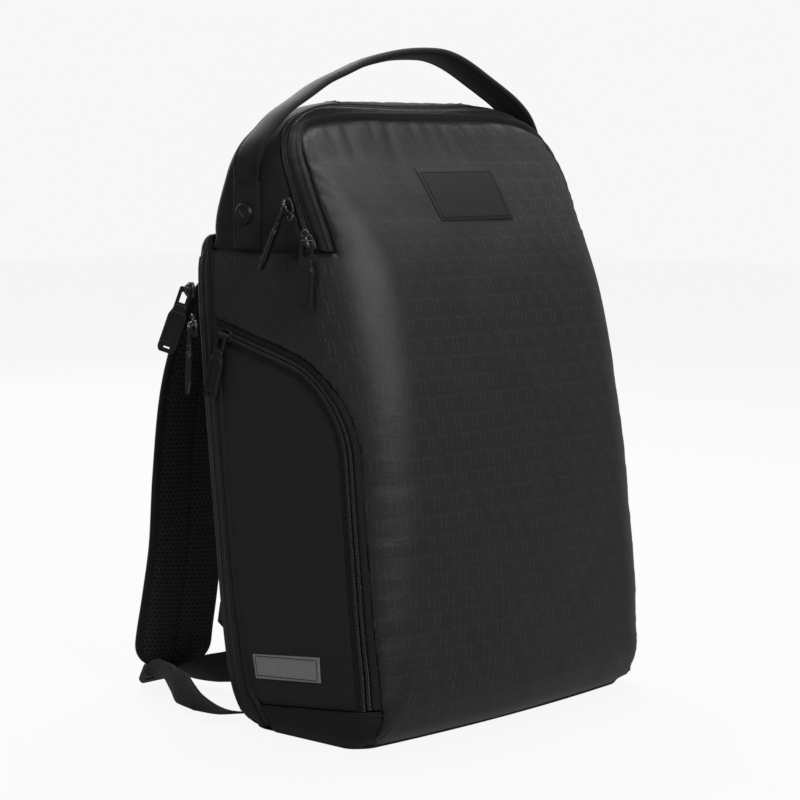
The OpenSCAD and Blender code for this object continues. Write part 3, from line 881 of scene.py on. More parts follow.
def fabric_depth(flat, place):
    """How the front fabric lies: rolled in at its sewn edges, puckered beside them and full
    between them. Negative is outwards."""
    p = np.stack([abs(flat[:, 0]), flat[:, 1]], 1)
    gaps = [near(p, line) for line in SEWN]
    gap = np.min([g[0] for g in gaps], axis=0)
    depth = rolled(gap, 1.9, 3.2) - 1.0 * (1 - np.exp(-gap / 16))
    for k, (line, strength) in enumerate(((0, 0.45), (1, 0.5), (2, 0.95))):
        g, along = gaps[line]
        side = np.where(flat[:, 0] < 0, 0, 400)
        depth += strength * np.exp(-g / 15) * (1 - np.exp(-g / 2.5)) * wave(along + side, 12, 11 + k)
        depth += 0.5 * strength * np.exp(-g / 34) * wave(along + side + g * 0.25, 27, 21 + k)
    points = place(flat, 0)
    depth += 0.75 * dents(points, 62, 3) + 0.3 * dents(points, 24, 7)
    return depth


def front_place(flat, t):
    """The body's points at places (u, z) on the flat cloth, at depth t."""
    return main_pt(from_u(flat[:, 0]), flat[:, 1], t)


def fabric(name, outline, spacing, looks, thickness, depth_of, place, *args, **kw):
    """A thick piece of cloth that fills a flat outline."""
    flat, faces = fill(outline, spacing)
    depth = depth_of(flat, place)
    outer = place(flat, depth)
    verts, faces, kinds = thick(faces, outer, place(flat, thickness))
    first = faces[0][0]
    p = verts[list(faces[0])]
    outward = place(flat[first:first + 1], depth[first] - 1)[0] - p[0]
    if np.dot(np.cross(p[1] - p[0], p[2] - p[0]), outward) < 0:
        faces = [tuple(reversed(f)) for f in faces]
    return make(name, verts, faces, looks, *args, uv=np.vstack([flat, flat]), kinds=kinds, **kw)


def front_fabric():
    """The ripstop front with the lid's face above it, in one piece."""
    left = door_flat[split_at:]
    bottom = np.array([[x, FOOT_Z] for x in np.linspace(left[-1, 0], 0, 50)])
    half = np.vstack([lid_half[::-1], split_line[::-1], left[1:], bottom[1:]])
    mirrored = (half * [-1, 1])[::-1][1:-1]
    outline = np.vstack([half, mirrored])
    fabric("front_and_lid_fabric", outline, 3.4, [RIPSTOP, LINING], SHELL, fabric_depth, front_place,
           None, "ripstop", replaces=("front_panel", "lid"),
           bend=("shell", "lid", (0, -70, 338.5), (0, -70, 351)))


def shoulder_fabric(name, side):
    """The ripstop above the side door, behind the front: up to the seam under the lid."""
    outline = np.vstack([split_line, seam_flat[::-1][1:], rear_flat[::-1][1:], door_flat[:split_at + 1]])
    outline = outline * [side, 1]
    fabric(f"shoulder_fabric_{name}", undoubled(outline, 0.2), 3.4, [RIPSTOP, LINING], SHELL, fabric_depth,
           front_place, "shell", "ripstop")


def door_fold(side):
    """Where the side panel bends to let its door open: the two bodies and both ends."""
    name = "left" if side < 0 else "right"
    joint = next(j for j in frame["joints"] if j["name"] == f"side_door_{name}_fold")
    centre, axis = np.array(joint["pos_m"]) / MM, np.array(joint["axis"])
    out = unit(np.cross(axis, [1.0, 0, 0]))
    out *= -np.sign(out[1])
    return ("shell", f"side_door_{name}", centre - 7 * out, centre + 9 * out)


def panel_depth(flat, place):
    """How a side panel lies: rolled in at the zip and the foot, full between them."""
    gap, along = near(flat, resample(door_line(PANEL_EDGE), 3))
    gap = np.minimum(gap, near(flat, panel_foot)[0])
    back = near(flat, panel_back)[0]
    depth = 1.1 + rolled(gap, 1.5, 2.6) - 1.6 * (1 - np.exp(-gap / 22)) * (1 - 0.5 * np.exp(-back / 15))
    depth += 0.2 * np.exp(-gap / 11) * wave(along, 17, 5)
    return depth + 0.45 * dents(np.column_stack([flat, np.zeros(len(flat))]), 70, 4)


def foot_z(y):
    """Height of the seam between the side panel and the tough base piece."""
    return 11 + (100 - y) * 24.5 / 250


panel_front = door_line(PANEL_EDGE)
panel_front = panel_front[panel_front[:, 1] > foot_z(panel_front[:, 0]) + 0.6]
foot_y = np.linspace(panel_front[-1, 0], 17, 40)
panel_foot = np.stack([foot_y, foot_z(foot_y) + 0.6], 1)
panel_foot = panel_foot[panel_foot[:, 0] < seam(panel_foot[:, 1]) - 0.5]
back_z = np.linspace(panel_foot[-1, 1], panel_front[0, 1], 90)
panel_back = np.stack([seam(back_z) - 0.5, back_z], 1)


def side_panel(name, side):
    """The smooth side: its door and the strip behind the fold, cut from one piece."""
    outline = np.vstack([panel_front, panel_foot[1:], panel_back[1:-1]])

    def place(flat, t):
        return side_pt(flat, t, side)
    fabric(f"side_panel_fabric_{name}", outline, 4.0, [SOFTSHELL, LINING], 4, panel_depth, place,
           None, "softshell", replaces=(f"side_panel_{name}", f"door_{name}"), bend=door_fold(side))


def base_side(name, side):
    """The tough piece at the foot of a side."""
    front_edge = door_line(TAPE_OUT - 0.3)
    front_edge = front_edge[front_edge[:, 1] < foot_z(front_edge[:, 0])]
    top_y = np.linspace(17, front_edge[0, 0], 45)
    top = np.stack([top_y, foot_z(top_y)], 1)
    top = top[top[:, 0] < seam(top[:, 1]) - 0.4]
    foot = np.linspace(front_edge[-1, 0], seam(FOOT_Z) - 0.4, 40)
    bottom = np.array([[y, FOOT_Z] for y in foot])
    back = np.array([[seam(z) - 0.4, z] for z in np.linspace(FOOT_Z, top[0, 1], 10)])
    outline = np.vstack([top, front_edge[1:], bottom[1:], back[1:-1]])

    def place(flat, t):
        return side_pt(flat, t, side)

    def depth(flat, _):
        below = near(flat, top)[0]
        gap = np.minimum(below, near(flat, front_edge)[0])
        lip = np.exp(-((below - 1.6) / 1.1) ** 2)
        return rolled(gap, 1.4, 2.0) + 0.2 - 0.7 * lip
    fabric(f"base_side_fabric_{name}", outline, 3.2, [BASE, LINING], SHELL, depth, place, "shell",
           "base_fabric", replaces=(f"base_side_{name}",))
    row = side_path(np.stack([top_y, foot_z(top_y) - 2.6], 1)[top_y < 10], side)
    stitches(f"base_side_stitching_{name}", [(row(0, -0.05), row(0, -1))], THREAD, "shell", "base_fabric",
             pitch=2.6)


def door_zip(name, side):
    """The arched zip of a side door: a rolled outer tape, two coils and the door's own tape."""
    path = door_path(side)
    above_foot = path(0, 0)[:, 2] > foot_z(path(0, 0)[:, 1]) - 1

    def clipped(d, t):
        return path(d, t)[above_foot]
    fold = door_fold(side)
    sweep(f"door_zip_outer_{name}", clipped,
          [(8.8, 3.8), (8.5, 2.4), (7.9, 1.3), (6.9, 0.6), (5.6, 0.3), (4.4, 0.5), (3.5, 1.1), (3.1, 2.0),
           (0.3, 2.2), (0.3, 2.9), (4, 3.4)],
          [TAPE], "shell", "zip_tape", replaces=(f"side_zip_{name}",))
    sweep(f"door_zip_inner_{name}", clipped,
          [(-0.3, 2.2), (-2.9, 2.1), (-3.1, 1.1), (-3.6, 0.8), (-4.1, 1.1), (-4.4, 1.7), (-6.4, 1.9),
           (-8.6, 2.8), (-8.6, 3.7), (-0.3, 2.9)],
          [TAPE], None, "zip_tape", replaces=(f"door_zip_{name}",), bend=fold)
    zip_teeth(f"door_zip_coil_outer_{name}", clipped, 1, "shell")
    zip_teeth(f"door_zip_coil_inner_{name}", clipped, -1, None, bend=fold)
    stitches(f"door_zip_stitching_outer_{name}", [(clipped(7.4, 0.75), clipped(7.6, -0.2))], THREAD,
             "shell", "zip_tape", pitch=3.0)
    stitches(f"door_zip_stitching_inner_{name}", [(clipped(-5.4, 1.75), clipped(-5.4, 0.7))], THREAD,
             None, "zip_tape", pitch=3.0, bend=fold)


def side_tag():
    """The small reflective tag low on the left side, plain, with its stitched border."""
    corners = np.array([[14.5, 39], [-50, 45.2], [-49.2, 63.2], [17, 56.2]])
    row = np.linspace(0, 1, 22)
    col = np.linspace(0, 1, 8)
    flat = np.array([[(1 - b) * ((1 - a) * corners[0] + a * corners[1])
                      + b * ((1 - a) * corners[3] + a * corners[2]) for b in col] for a in row])
    flat = flat.reshape(-1, 2)
    faces = grid_faces(22, 8)
    depth = panel_depth(flat, None)
    outer, inner = side_pt(flat, depth - 0.75, -1), side_pt(flat, depth + 0.1, -1)
    verts, faces, kinds = thick(faces, outer, inner)
    make("side_tag", verts, faces, [TAG, TAG], "shell", "reflective", replaces=("side_label",),
         kinds=kinds, crease=30)
    centre = corners.mean(0)
    inset = centre + (corners - centre) * [0.93, 0.80]
    loop = resample(np.vstack([inset, inset[:1]]), 2.4)
    depth = panel_depth(loop, None)
    stitches("side_tag_stitching", [(side_pt(loop, depth - 0.8, -1), side_pt(loop, depth - 2, -1))],
             DARK_THREAD, "shell", "reflective", pitch=2.9)


def lid_trim():
    """The soft rolled band round the lid, with the tape and the coil behind it."""
    def roll(d, t):
        swell = 0.25 * wave(np.arange(len(LID_EDGE)), 8, 31)[:, None]
        base = lid_path(d, t)
        return base + unit(lid_path(d, t - 1) - base) * swell * (t < 0.9)
    sweep("lid_band_roll", roll,
          [(-3.4, 3.4), (-3.0, 2.0), (-2.0, 0.8), (-1.4, -0.5), (-0.6, -1.5), (0.3, -1.8), (1.1, -1.5),
           (1.7, -1.0), (2.6, -1.1), (4.0, -1.4), (5.6, -1.3), (7.0, -0.7), (7.9, 0.3), (8.3, 1.6),
           (8.1, 2.8)],
          [SOFTSHELL], "lid", "softshell", replaces=("lid_piping",))
    sweep("lid_zip_tape_fabric", lid_path, strip_profile(7.6, ZIP_AT - 0.4, 1.5, 2.6),
          [TAPE], "lid", "zip_tape", replaces=("lid_zip_tape",))
    sweep("main_zip_tape_fabric", lid_path,
          [(ZIP_AT + 0.4, 1.5), (12.4, 1.3), (13.0, 0.6), (14.0, 0.0), (15.2, -0.1), (16.0, 0.5),
           (16.4, 1.4), (18.5, 2.2), (18.4, 3.0), (ZIP_AT + 0.4, 2.6)],
          [TAPE], "shell", "zip_tape", replaces=("main_zip_tape",))

    def coil_path(d, t):
        return lid_path(ZIP_AT + d, t)
    zip_teeth("main_zip_coil_lid", coil_path, -1, "lid")
    zip_teeth("main_zip_coil_shell", coil_path, 1, "shell")
    stitches("main_zip_stitching", [(lid_path(14.2, 0.0), lid_path(14.2, -1))], THREAD, "shell", "zip_tape")
    stitches("lid_roll_stitching", [(lid_path(2.0, -0.95), lid_path(2.0, -2))], THREAD, "lid", "softshell")


def top_shell():
    """The smooth upper body round the main zip: sides and top, and the upper back."""
    band_u = np.stack([to_u(FAR_SZ[:, 0]), FAR_SZ[:, 1]], 1)
    band_u = np.vstack([band_u, (band_u * [-1, 1])[-2::-1]])
    low = np.array([[u, OVER_SEAM] for u in np.linspace(abs(band_u[0, 0]), REAR_U, 34)])
    up = np.array([[REAR_U, z] for z in [*np.linspace(OVER_SEAM, TOP_Z, 44)[1:], TOP_Z + CAP]])
    crest = np.array([[u, TOP_Z + CAP] for u in np.linspace(REAR_U, 0, 70)])[1:]
    right = np.vstack([low, up, crest])
    outline = np.vstack([right, (right * [-1, 1])[::-1][1:], band_u[1:-1]])
    edges = [band_u, low, low * [-1, 1]]

    def depth(flat, place):
        gaps = [near(flat, e) for e in edges]
        gap = np.min([g[0] for g in gaps], axis=0)
        soft = 0.4 * np.exp(-gaps[0][0] / 14) * wave(gaps[0][1], 22, 41)
        full = rolled(gap, 1.6, 2.8) - 0.8 * (1 - np.exp(-gap / 18))
        return full + soft + 0.4 * dents(place(flat, 0), 55, 9)
    fabric("top_band_fabric", outline, 3.6, [SOFTSHELL, LINING], SHELL, depth, front_place, "shell",
           "softshell", replaces=("top_band",))
    zs = np.concatenate([np.linspace(OVER_SEAM, TOP_Z, 42), np.linspace(TOP_Z, TOP_Z + CAP, 5)[1:]])
    ss = np.linspace(3, 5, 70)
    outer = np.array([main_pt(ss, z, 0.0) for z in zs])
    inner = np.array([main_pt(ss, z, SHELL) for z in zs])
    uv = np.array([[(4 - s) * 147, z] for z in zs for s in ss])
    verts, faces, kinds = sheet(outer, inner)
    make("upper_back_fabric", verts, faces, [SOFTSHELL, LINING], "shell", "softshell",
         replaces=("upper_back",), uv=np.vstack([uv, uv]), kinds=kinds, flip=True)


def patch():
    """A plain moulded rubber patch on the lid, with a raised border and a stitched edge."""
    wide, high, foot = 80, 40, 364.3
    rows, cols = np.linspace(0, 1, 16), np.linspace(0, 1, 30)

    def at(a, b, t):
        z = foot + 37.4 * b
        lean = (1 - b) * 1.6
        x = -41 + lean * 1.2 + (82 - lean * 1.6) * a
        w = half_width(z) - front_radius(z)
        return main_pt(x / w, z, t)
    flat = [(a, b) for b in rows for a in cols]
    edge = [min(a * wide, (1 - a) * wide, b * high, (1 - b) * high) for a, b in flat]
    lift = [-0.9 - 0.65 * (0.4 < e < 2.6) + 0.5 * (e < 0.2) for e in edge]
    under = np.array([[82.4 * (a - 0.5), foot + 37.4 * b] for a, b in flat])
    cloth = fabric_depth(under, front_place).mean()
    outer = np.array([at(a, b, t + cloth) for (a, b), t in zip(flat, lift)])
    inner = np.array([at(a, b, 1.0) for a, b in flat])
    verts, faces, kinds = thick(grid_faces(16, 30), outer, inner)
    make("lid_patch_rubber", verts, faces, [RUBBER, RUBBER], "lid", "rubber_patch",
         replaces=("lid_patch",), kinds=kinds, crease=35)
    loop = [(0.035, 0.075), (0.965, 0.075), (0.965, 0.925), (0.035, 0.925), (0.035, 0.075)]
    loop = resample(np.array(loop) * [wide, high], 2) / [wide, high]
    row, above = (np.array([at(a, b, cloth - t) for a, b in loop]) for t in (1.0, 2.0))
    stitches("lid_patch_stitching", [(row, above)], DARK_THREAD, "lid", "rubber_patch", pitch=2.6)


# ---------------------------------------------------------------- base and back

def base_panel():
    """The tough panel under the bag, with its edge turned up into the walls."""
    s = np.linspace(-3, 3, 121)
    left = np.array([rear_pt(g, 2, 0, 1) for g in np.linspace(1, 28, 10)])
    ring = np.vstack([main_pt(s, 2, 0.2), left, (left * [-1, 1, 1])[::-1]])
    ring[:, 2] = 0
    verts, faces = stack(ring, [(0.30, 0.05), (0.6, 0.05), (0.93, 0.05), (0.985, 0.6), (1.0, 2.0),
                                (0.985, 3.6), (0.9, 4), (0.5, 4)])
    make("base_panel", verts, faces, [BASE], "shell", "base_fabric", replaces=("base_plate",))


def seam_cords():
    """The rolled seams: down each rear corner of the main body and along the horizontal seam."""
    z = np.linspace(6, SEAM_Z - 1, 130)
    for name, side in SIDES:
        def corner(d, t):
            base = np.stack([side * (half_width(z) - 1.7), seam(z) - 1.5, z], 1)
            swell = 1 + 0.06 * wave(z, 30, 51)
            return base + np.stack([side * d * swell, t * swell, 0 * z], 1)
        sweep(f"corner_roll_{name}", corner, tube_profile(0, 0, 2.6, 12), [SOFTSHELL], "shell", "softshell")
        line = np.array([[y, SEAM_Z + 0.1] for y in np.linspace(62, LID_LOW[0] - 1, 60)])
        sweep(f"horizontal_seam_{name}", side_path(line, side), tube_profile(0, 2.3, 1.2, 8), [BINDING],
              "shell", "softshell")
        row = side_path(line + [0, 3.2], side)
        stitches(f"upper_seam_stitching_{name}", [(row(0, -0.55), row(0, -1.6))], THREAD, "shell",
                 "softshell")


def rear_compartment():
    """The laptop compartment: side strips, the zip round it, the back panel and its cap."""
    z = np.linspace(4, 342.6, 110)
    for name, side in SIDES:
        def strip(d, t):
            return rear_pt(np.clip(d, 0.3, None) * (gusset(z) - 2.6) / 8, z, t, side)
        sweep(f"rear_gusset_fabric_{name}", strip,
              [(0.1, 2.2), (0.35, 0.9), (0.9, 0.0), (2.0, -0.8), (4, -1.1), (6, -0.8), (7.2, 0.0), (7.8, 0.9),
               (8, 2.0), (8, 3), (4, 3), (0.1, 3)],
              [SOFTSHELL], "shell", "softshell", replaces=(f"rear_gusset_{name}",))
        path = rear_zip_path(side)
        stitches(f"rear_gusset_stitching_{name}", [(path(-4.6, 0.0), path(-4.6, -1))], THREAD, "shell",
                 "softshell", pitch=3.0)
        sweep(f"rear_zip_tape_{name}", path, strip_profile(-2.8, 3.4, 0.7, 2.0), [TAPE], "shell", "zip_tape",
              replaces=("rear_zip",) if side < 0 else ())
        zip_teeth(f"rear_zip_coil_inner_{name}", path, -1, "shell", d=0.1)
        zip_teeth(f"rear_zip_coil_outer_{name}", path, 1, "shell", d=0.1)
    back_panel()
    rear_cap()


def back_panel():
    """The foam back panel, rounded at both sides, with its side edges sunk in a little."""
    zs = np.concatenate([[2.5, 4, 7], np.linspace(12, 330, 80), [335, 338]])
    k = np.linspace(-1, 1, 90)

    def row(z, t):
        g0 = gusset(z) + 4.0
        whole = gusset(z) + REAR_RADIUS * math.pi / 2 + half_width(z) - REAR_RADIUS
        g = g0 + (whole - g0) * (1 - abs(k))
        edge = np.minimum((1 - abs(k)) * 150, 6)
        sink = 1.6 * (1 - edge / 6) ** 2
        p = rear_pt(g, np.full_like(g, z), t + (sink if t == 0 else 0), 1)
        p[:, 0] *= np.where(k < 0, -1, 1)
        return p
    outer, inner = np.array([row(z, 0) for z in zs]), np.array([row(z, 6) for z in zs])
    outer[0, :, 1] -= 2
    verts, faces, kinds = sheet(outer, inner)
    uv = np.array([[a * 150, z] for z in zs for a in k])
    make("back_panel_fabric", verts, faces, [SOFTSHELL, LINING], "shell", "softshell",
         replaces=("back_panel",), uv=np.vstack([uv, uv]), kinds=kinds)


CAP_BEND = ("shell", "rear_flap", (0, 67.5, 355), (0, 73, 355))


def rear_cap():
    """The cap over the rear compartment, which lifts from its front edge, with its two end walls."""
    hinge_y, back_y = 66.0, 85.8
    outer = spline([[68.5, 354.8], [74, 354.4], [79.8, 351.4], [83.8, 346.4], [back_y, 339.0]], 16)
    inward = unit(np.stack([-np.gradient(outer[:, 1]), np.gradient(outer[:, 0])], 1))
    inner = outer + inward * np.where(inward[:, 1:] > 0, -1, 1) * 2.4
    loop = np.vstack([outer, inner[::-1]])
    w = half_width(350) - 1
    ends = np.array([0, 0.15, 0.5, 1.1, 2, 3.2, 4.7, 6.6, 9, 12])
    xs = np.concatenate([-w + ends, np.linspace(-w + 17, w - 17, 50), w - ends[::-1]])

    def plan(x, y):
        """y drawn in where the compartment's rear corners are round."""
        past = np.clip((abs(x) - w) / REAR_RADIUS + 1, 0, 1)
        reach = back_y - REAR_RADIUS * (1 - np.sqrt(1 - past ** 2))
        return hinge_y + (y - hinge_y) * (reach - hinge_y) / (back_y - hinge_y)
    drop = np.interp(abs(xs), [w - 9, w - 4, w - 1.5, w], [0, 0.3, 0.8, 1.6])
    rows = [np.stack([xs, plan(xs, y), np.full_like(xs, z) - drop], 1) for y, z in loop]
    verts, faces, uv = loft(rows)
    make("rear_cap_fabric", verts, faces, [SOFTSHELL], None, "softshell", replaces=("rear_flap",),
         uv=uv, bend=CAP_BEND)
    wall = spline([[66.6, 354.0], [74, 353.6], [79.6, 350.8], [83.5, 346.2], [85.4, 341.4]], 24)
    wall = np.vstack([wall, [[80, 341.2], [74, 341.2], [66.6, 341.2], [66.6, 348.5]]])
    wall[:, 0] = plan(np.full(len(wall), w), wall[:, 0])
    flat, faces = fill(resample(np.vstack([wall, wall[:1]]), 1.2)[:-1], 1.4)
    gap = near(flat, np.vstack([wall, wall[:1]]))[0]
    roll = rolled(gap, 1.0, 2.2)
    for name, side in SIDES:
        skins = [np.column_stack([side * (w - depth), flat]) for depth in (roll - 1.0, 0 * roll + 2.4)]
        verts, shell, kinds = thick(faces, *skins)
        make(f"rear_cap_end_{name}", verts, shell, [SOFTSHELL, LINING], "rear_flap", "softshell",
             kinds=kinds, flip=side < 0)
    sewn = xs[9:-9]
    row = np.stack([sewn, plan(sewn, 74.0), 354.9 + 0 * sewn], 1)
    stitches("rear_cap_stitching", [(row, row + [0, 0, 1])], THREAD, None, "softshell", bend=CAP_BEND)


def cushion(name, x0, x1, z0, z1, thick_mm, channels, node):
    """A foam pad on the back panel: crowned, with sewn channels and a bound edge."""
    nx, nz = 64, max(20, int((z1 - z0) / 3))
    a, b = np.meshgrid(np.linspace(0, 1, nx), np.linspace(0, 1, nz))
    x, z = x0 + (x1 - x0) * a, z0 + (z1 - z0) * b
    gap_x, gap_z = np.minimum(a, 1 - a) * (x1 - x0), np.minimum(b, 1 - b) * (z1 - z0)
    corner = 16
    both = np.hypot(np.maximum(corner - gap_x, 0), np.maximum(corner - gap_z, 0))
    in_corner = (gap_x < corner) & (gap_z < corner)
    gap = np.maximum(np.where(in_corner, corner - both, np.minimum(gap_x, gap_z)), 0)
    pull = np.where(in_corner & (both > corner), corner / np.maximum(both, 1), 1)
    cx, cz = np.where(a < 0.5, x0 + corner, x1 - corner), np.where(b < 0.5, z0 + corner, z1 - corner)
    x, z = cx + (x - cx) * pull, cz + (z - cz) * pull
    lift = 1.6 + (thick_mm - 1.6) * (1 - (1 - np.clip(gap / 11, 0, 1)) ** 2) ** 0.5
    for c in channels:
        lift -= (thick_mm - 3.5) * np.exp(-((z - c) / 2.6) ** 2) * np.clip(gap / 12, 0, 1)
    lift += 0.4 * dents(np.stack([x, lift, z], -1).reshape(-1, 3), 30, 13).reshape(x.shape)
    lift = np.clip(lift, 0.8, thick_mm)
    y = rear(z)
    outer = np.stack([x, y + lift, z], -1).reshape(-1, 3)
    inner = np.stack([x, y + 0.15, z], -1).reshape(-1, 3)
    verts, faces, kinds = thick(grid_faces(nz, nx), outer, inner)
    uv = np.stack([x, z], -1).reshape(-1, 2)
    pad = make(name, verts, faces, [MESH, BINDING], "shell", "air_mesh", replaces=(node,),
               uv=np.vstack([uv, uv]), kinds=kinds, flip=True)
    rim = np.concatenate([np.arange(nx), np.arange(1, nz) * nx + nx - 1,
                          (nz - 1) * nx + np.arange(nx - 2, -1, -1), np.arange(nz - 2, 0, -1) * nx])
    loop = outer[rim]
    loop = resample(np.vstack([undoubled(loop, 0.3), loop[:1]]), 3)[:-1]
    bound_edge(f"{name}_binding", loop)


def bound_edge(name, loop, radius=1.3):
    """The binding round a pad's edge: a tube round a closed loop of points."""
    tangent = unit(np.roll(loop, -1, 0) - np.roll(loop, 1, 0))
    side = unit(np.cross(tangent, [0, 1, 0]))
    up = np.cross(side, tangent)
    rows = [loop + side * radius * math.cos(a) + up * radius * math.sin(a)
            for a in turns(8)]
    verts, faces, uv = loft(rows, ring=True)
    make(name, verts, faces, [BINDING], "shell", "softshell", uv=uv)


def back_pads():
    """The three pads on the back, and the yoke where the straps are sewn."""
    cushion("back_pad_left_foam", -118, -14, 112, 300, 10, (160, 206, 252), "back_pad_left")
    cushion("back_pad_right_foam", 14, 118, 112, 300, 10, (160, 206, 252), "back_pad_right")
    cushion("lumbar_foam", -112, 112, 34, 102, 11, (68,), "lumbar_pad")
    x = np.linspace(-96, 96, 70)

    def yoke(d, t):
        z = 323 + d
        return np.stack([x, rear(z) + t + 0 * x, z + 0 * x], 1)
    sweep("strap_yoke_fabric", yoke,
          [(-13, 0.2), (-13, 1.4), (-11, 3.2), (-5, 4.0), (5, 4.0), (11, 3.2), (13, 1.4), (13, 0.2)],
          [SOFTSHELL], "shell", "softshell", replaces=("strap_yoke",))
    lines = [(yoke(d, 3.9), yoke(d, 5)) for d in (-8, 8)]
    stitches("strap_yoke_stitching", lines, THREAD, "shell", "softshell")


# ---------------------------------------------------------------- inside

def boards():
    """The padded walls inside, each a foam board in lining with rounded edges."""
    zs, ss = np.linspace(5, 341, 60), np.linspace(3.01, 4.99, 60)
    verts, faces, kinds = sheet(*(np.array([main_pt(ss, z, t) for z in zs]) for t in (0.3, 4)))
    make("laptop_wall_foam", verts, faces, [LINING, LINING], "shell", "lining", replaces=("laptop_wall",),
         kinds=kinds, flip=True)
    ring = main_pt(np.linspace(-3, 3, 160), 304, 7)
    back = ring[[-1]] + (ring[[0]] - ring[[-1]]) * np.linspace(0, 1, 60)[1:-1, None]
    verts, faces = stack(np.vstack([ring, back]),
                         [(0.2, 304.2), (0.6, 304.1), (0.95, 303.9), (0.99, 303.0), (1, 301), (0.99, 299),
                          (0.95, 298.1), (0.6, 298), (0.2, 298)])
    make("shelf_foam", verts, faces, [LINING], "shell", "lining", replaces=("padded_shelf",))
    zs = np.linspace(5, 297, 60)
    skins = [np.array([[[side * 3 * min(1, 0.35 + min(k, 1 - k) * 30),
                         6 - front(z) + k * (seam(z) - 12 + front(z)), z] for k in np.linspace(0, 1, 30)]
                       for z in zs]) for side in (-1, 1)]
    verts, faces, kinds = sheet(*skins)
    make("divider_foam", verts, faces, [LINING, LINING], "shell", "lining", replaces=("lower_divider",),
         kinds=kinds, flip=True)


# ---------------------------------------------------------------- handle

# Where the handle's pivot is, how far it leans forward, and where its cloth bends
HANDLE_Y, HANDLE_Z = 27, 394
HANDLE_LEAN = math.radians(17)
HANDLE_BEND = ("shell", "handle", (0, HANDLE_Y, 392), (0, HANDLE_Y, 405))


def handle_line():
    """Centre line of the carry handle with its tabs: points, width directions and normals."""
    left = [[-154.4, 11], [-151, 25], [-142, 37], [-131, 49], [-114, 60], [-97, 71], [-79, 78.5], [-61, 86],
            [-41, 91], [-20, 94.5], [1, 95.5]]
    right = [[16, 95], [33, 91.5], [52, 85], [71, 77], [90, 69], [110, 60], [130, 48], [144, 34], [151, 24],
             [154.4, 11]]
    arch = (left + right)[::-1]
    arch = spline([[x, HANDLE_Y - h * math.sin(HANDLE_LEAN), HANDLE_Z + h * math.cos(HANDLE_LEAN)]
                   for x, h in arch], 120)
    x = half_width(345) + 1.9
    tab = [[x, HANDLE_Y + 0.5, z] for z in (345.5, 355, 365, 375, 384, 391, 398)]
    points = np.vstack([tab, arch, [[-p[0], p[1], p[2]] for p in reversed(tab)]])
    points = resample(points, 2.2)
    points = evened(points)
    above = step(points[:, 2], 385, 425)[:, None]
    width = unit((1 - above) * [0, 1, 0] + above * [0, 0.977, -0.21])
    tangent = unit(np.gradient(points, axis=0))
    width = unit(width - (width * tangent).sum(1, keepdims=True) * tangent)
    normal = np.cross(width, tangent)
    outward = (normal * (points - [0, HANDLE_Y, 340])).sum(1, keepdims=True)
    return points, width, normal * np.where(outward < 0, -1, 1)


def carry_handle():
    """The padded handle with its rolled edges, the tabs under its ends and their rivets."""
    points, width, normal = handle_line()
    high = step(points[:, 2], 392, 412)[:, None]
    tuck = 1 - 0.07 * np.exp(-((points[:, 2:] - 398) / 9) ** 2)
    half = 12.4 * tuck

    def path(d, t):
        edge = abs(d) / 15
        lift = t * (0.45 + 0.55 * high)
        bulge = (1 - edge ** 2) * 0.5 * np.sign(t) * high
        return points + width * d * half / 15 + normal * (lift + bulge)
    profile = [(-15, 0), (-14.8, 1.1), (-14, 1.9), (-12.2, 1.75), (-11.4, 2.1), (-8, 2.7), (-4, 2.9), (0, 3),
               (4, 2.9), (8, 2.7), (11.4, 2.1), (12.2, 1.75), (14, 1.9), (14.8, 1.1), (15, 0)]
    under = [(-d, -t * 0.8) for d, t in profile[1:-1]]
    sweep("carry_handle_fabric", path, profile + under, [SOFTSHELL], None, "softshell",
          replaces=("handle",), bend=HANDLE_BEND)
    rows = [(path(d, 2.05), path(d, 3.2)) for d in (-12.2, 12.2)]
    rows += [(path(d, -1.7), path(d, -2.9)) for d in (-12.2, 12.2)]
    stitches("carry_handle_stitching", rows, THREAD, None, "softshell", bend=HANDLE_BEND)
    for name, side in SIDES:
        x = side * (half_width(345) + 0.9)
        z = np.linspace(345.3, 393, 24)

        def tab(d, t):
            return np.stack([np.full_like(z, x) + side * t, HANDLE_Y + 0.5 + d + 0 * z, z], 1)
        sweep(f"handle_tab_fabric_{name}", tab,
              [(-12.8, -0.9), (-13, 0), (-12.4, 0.7), (12.4, 0.7), (13, 0), (12.8, -0.9)],
              [SOFTSHELL], "shell", "softshell", replaces=(f"handle_tab_{name}",))
        y = np.linspace(17, 38, 24)
        lines = []
        for height in (347.4, 391.6):
            base = np.stack([np.full_like(y, x + side * 2.6), y, np.full_like(y, height)], 1)
            lines.append((base, base + [side, 0, 0]))
        stitches(f"handle_cross_stitching_{name}", lines, THREAD, "shell", "softshell", pitch=2.6)
        rivet(name, side)


def rivet(name, side):
    """A cap rivet: a domed head in a stepped ring."""
    low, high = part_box(f"rivet_{name}")
    centre = (np.array(low) + np.array(high)) / 2 / MM
    x0 = min(abs(low.x), abs(high.x)) / MM
    outline = [(0.02, 4.4), (2.6, 4.3), (4.2, 3.9), (4.9, 3.3), (5.2, 3.5), (6.1, 3.9), (7.0, 3.5),
               (7.7, 2.4), (8.1, 0.9), (8.1, 0)]
    n = 40
    rows = [np.array([[side * (x0 + h), centre[1] + r * math.cos(a), centre[2] + r * math.sin(a)]
                      for a in turns(n)]) for r, h in outline]
    faces = grid_faces(len(rows), n, wrap_n=True)
    faces.append(tuple(reversed([(len(rows) - 1) * n + i for i in range(n)])))
    make(f"rivet_cap_{name}", np.vstack(rows), faces, [DARK_METAL], "shell", "gunmetal",
         replaces=(f"rivet_{name}",), flip=side < 0)


# ---------------------------------------------------------------- zip hardware

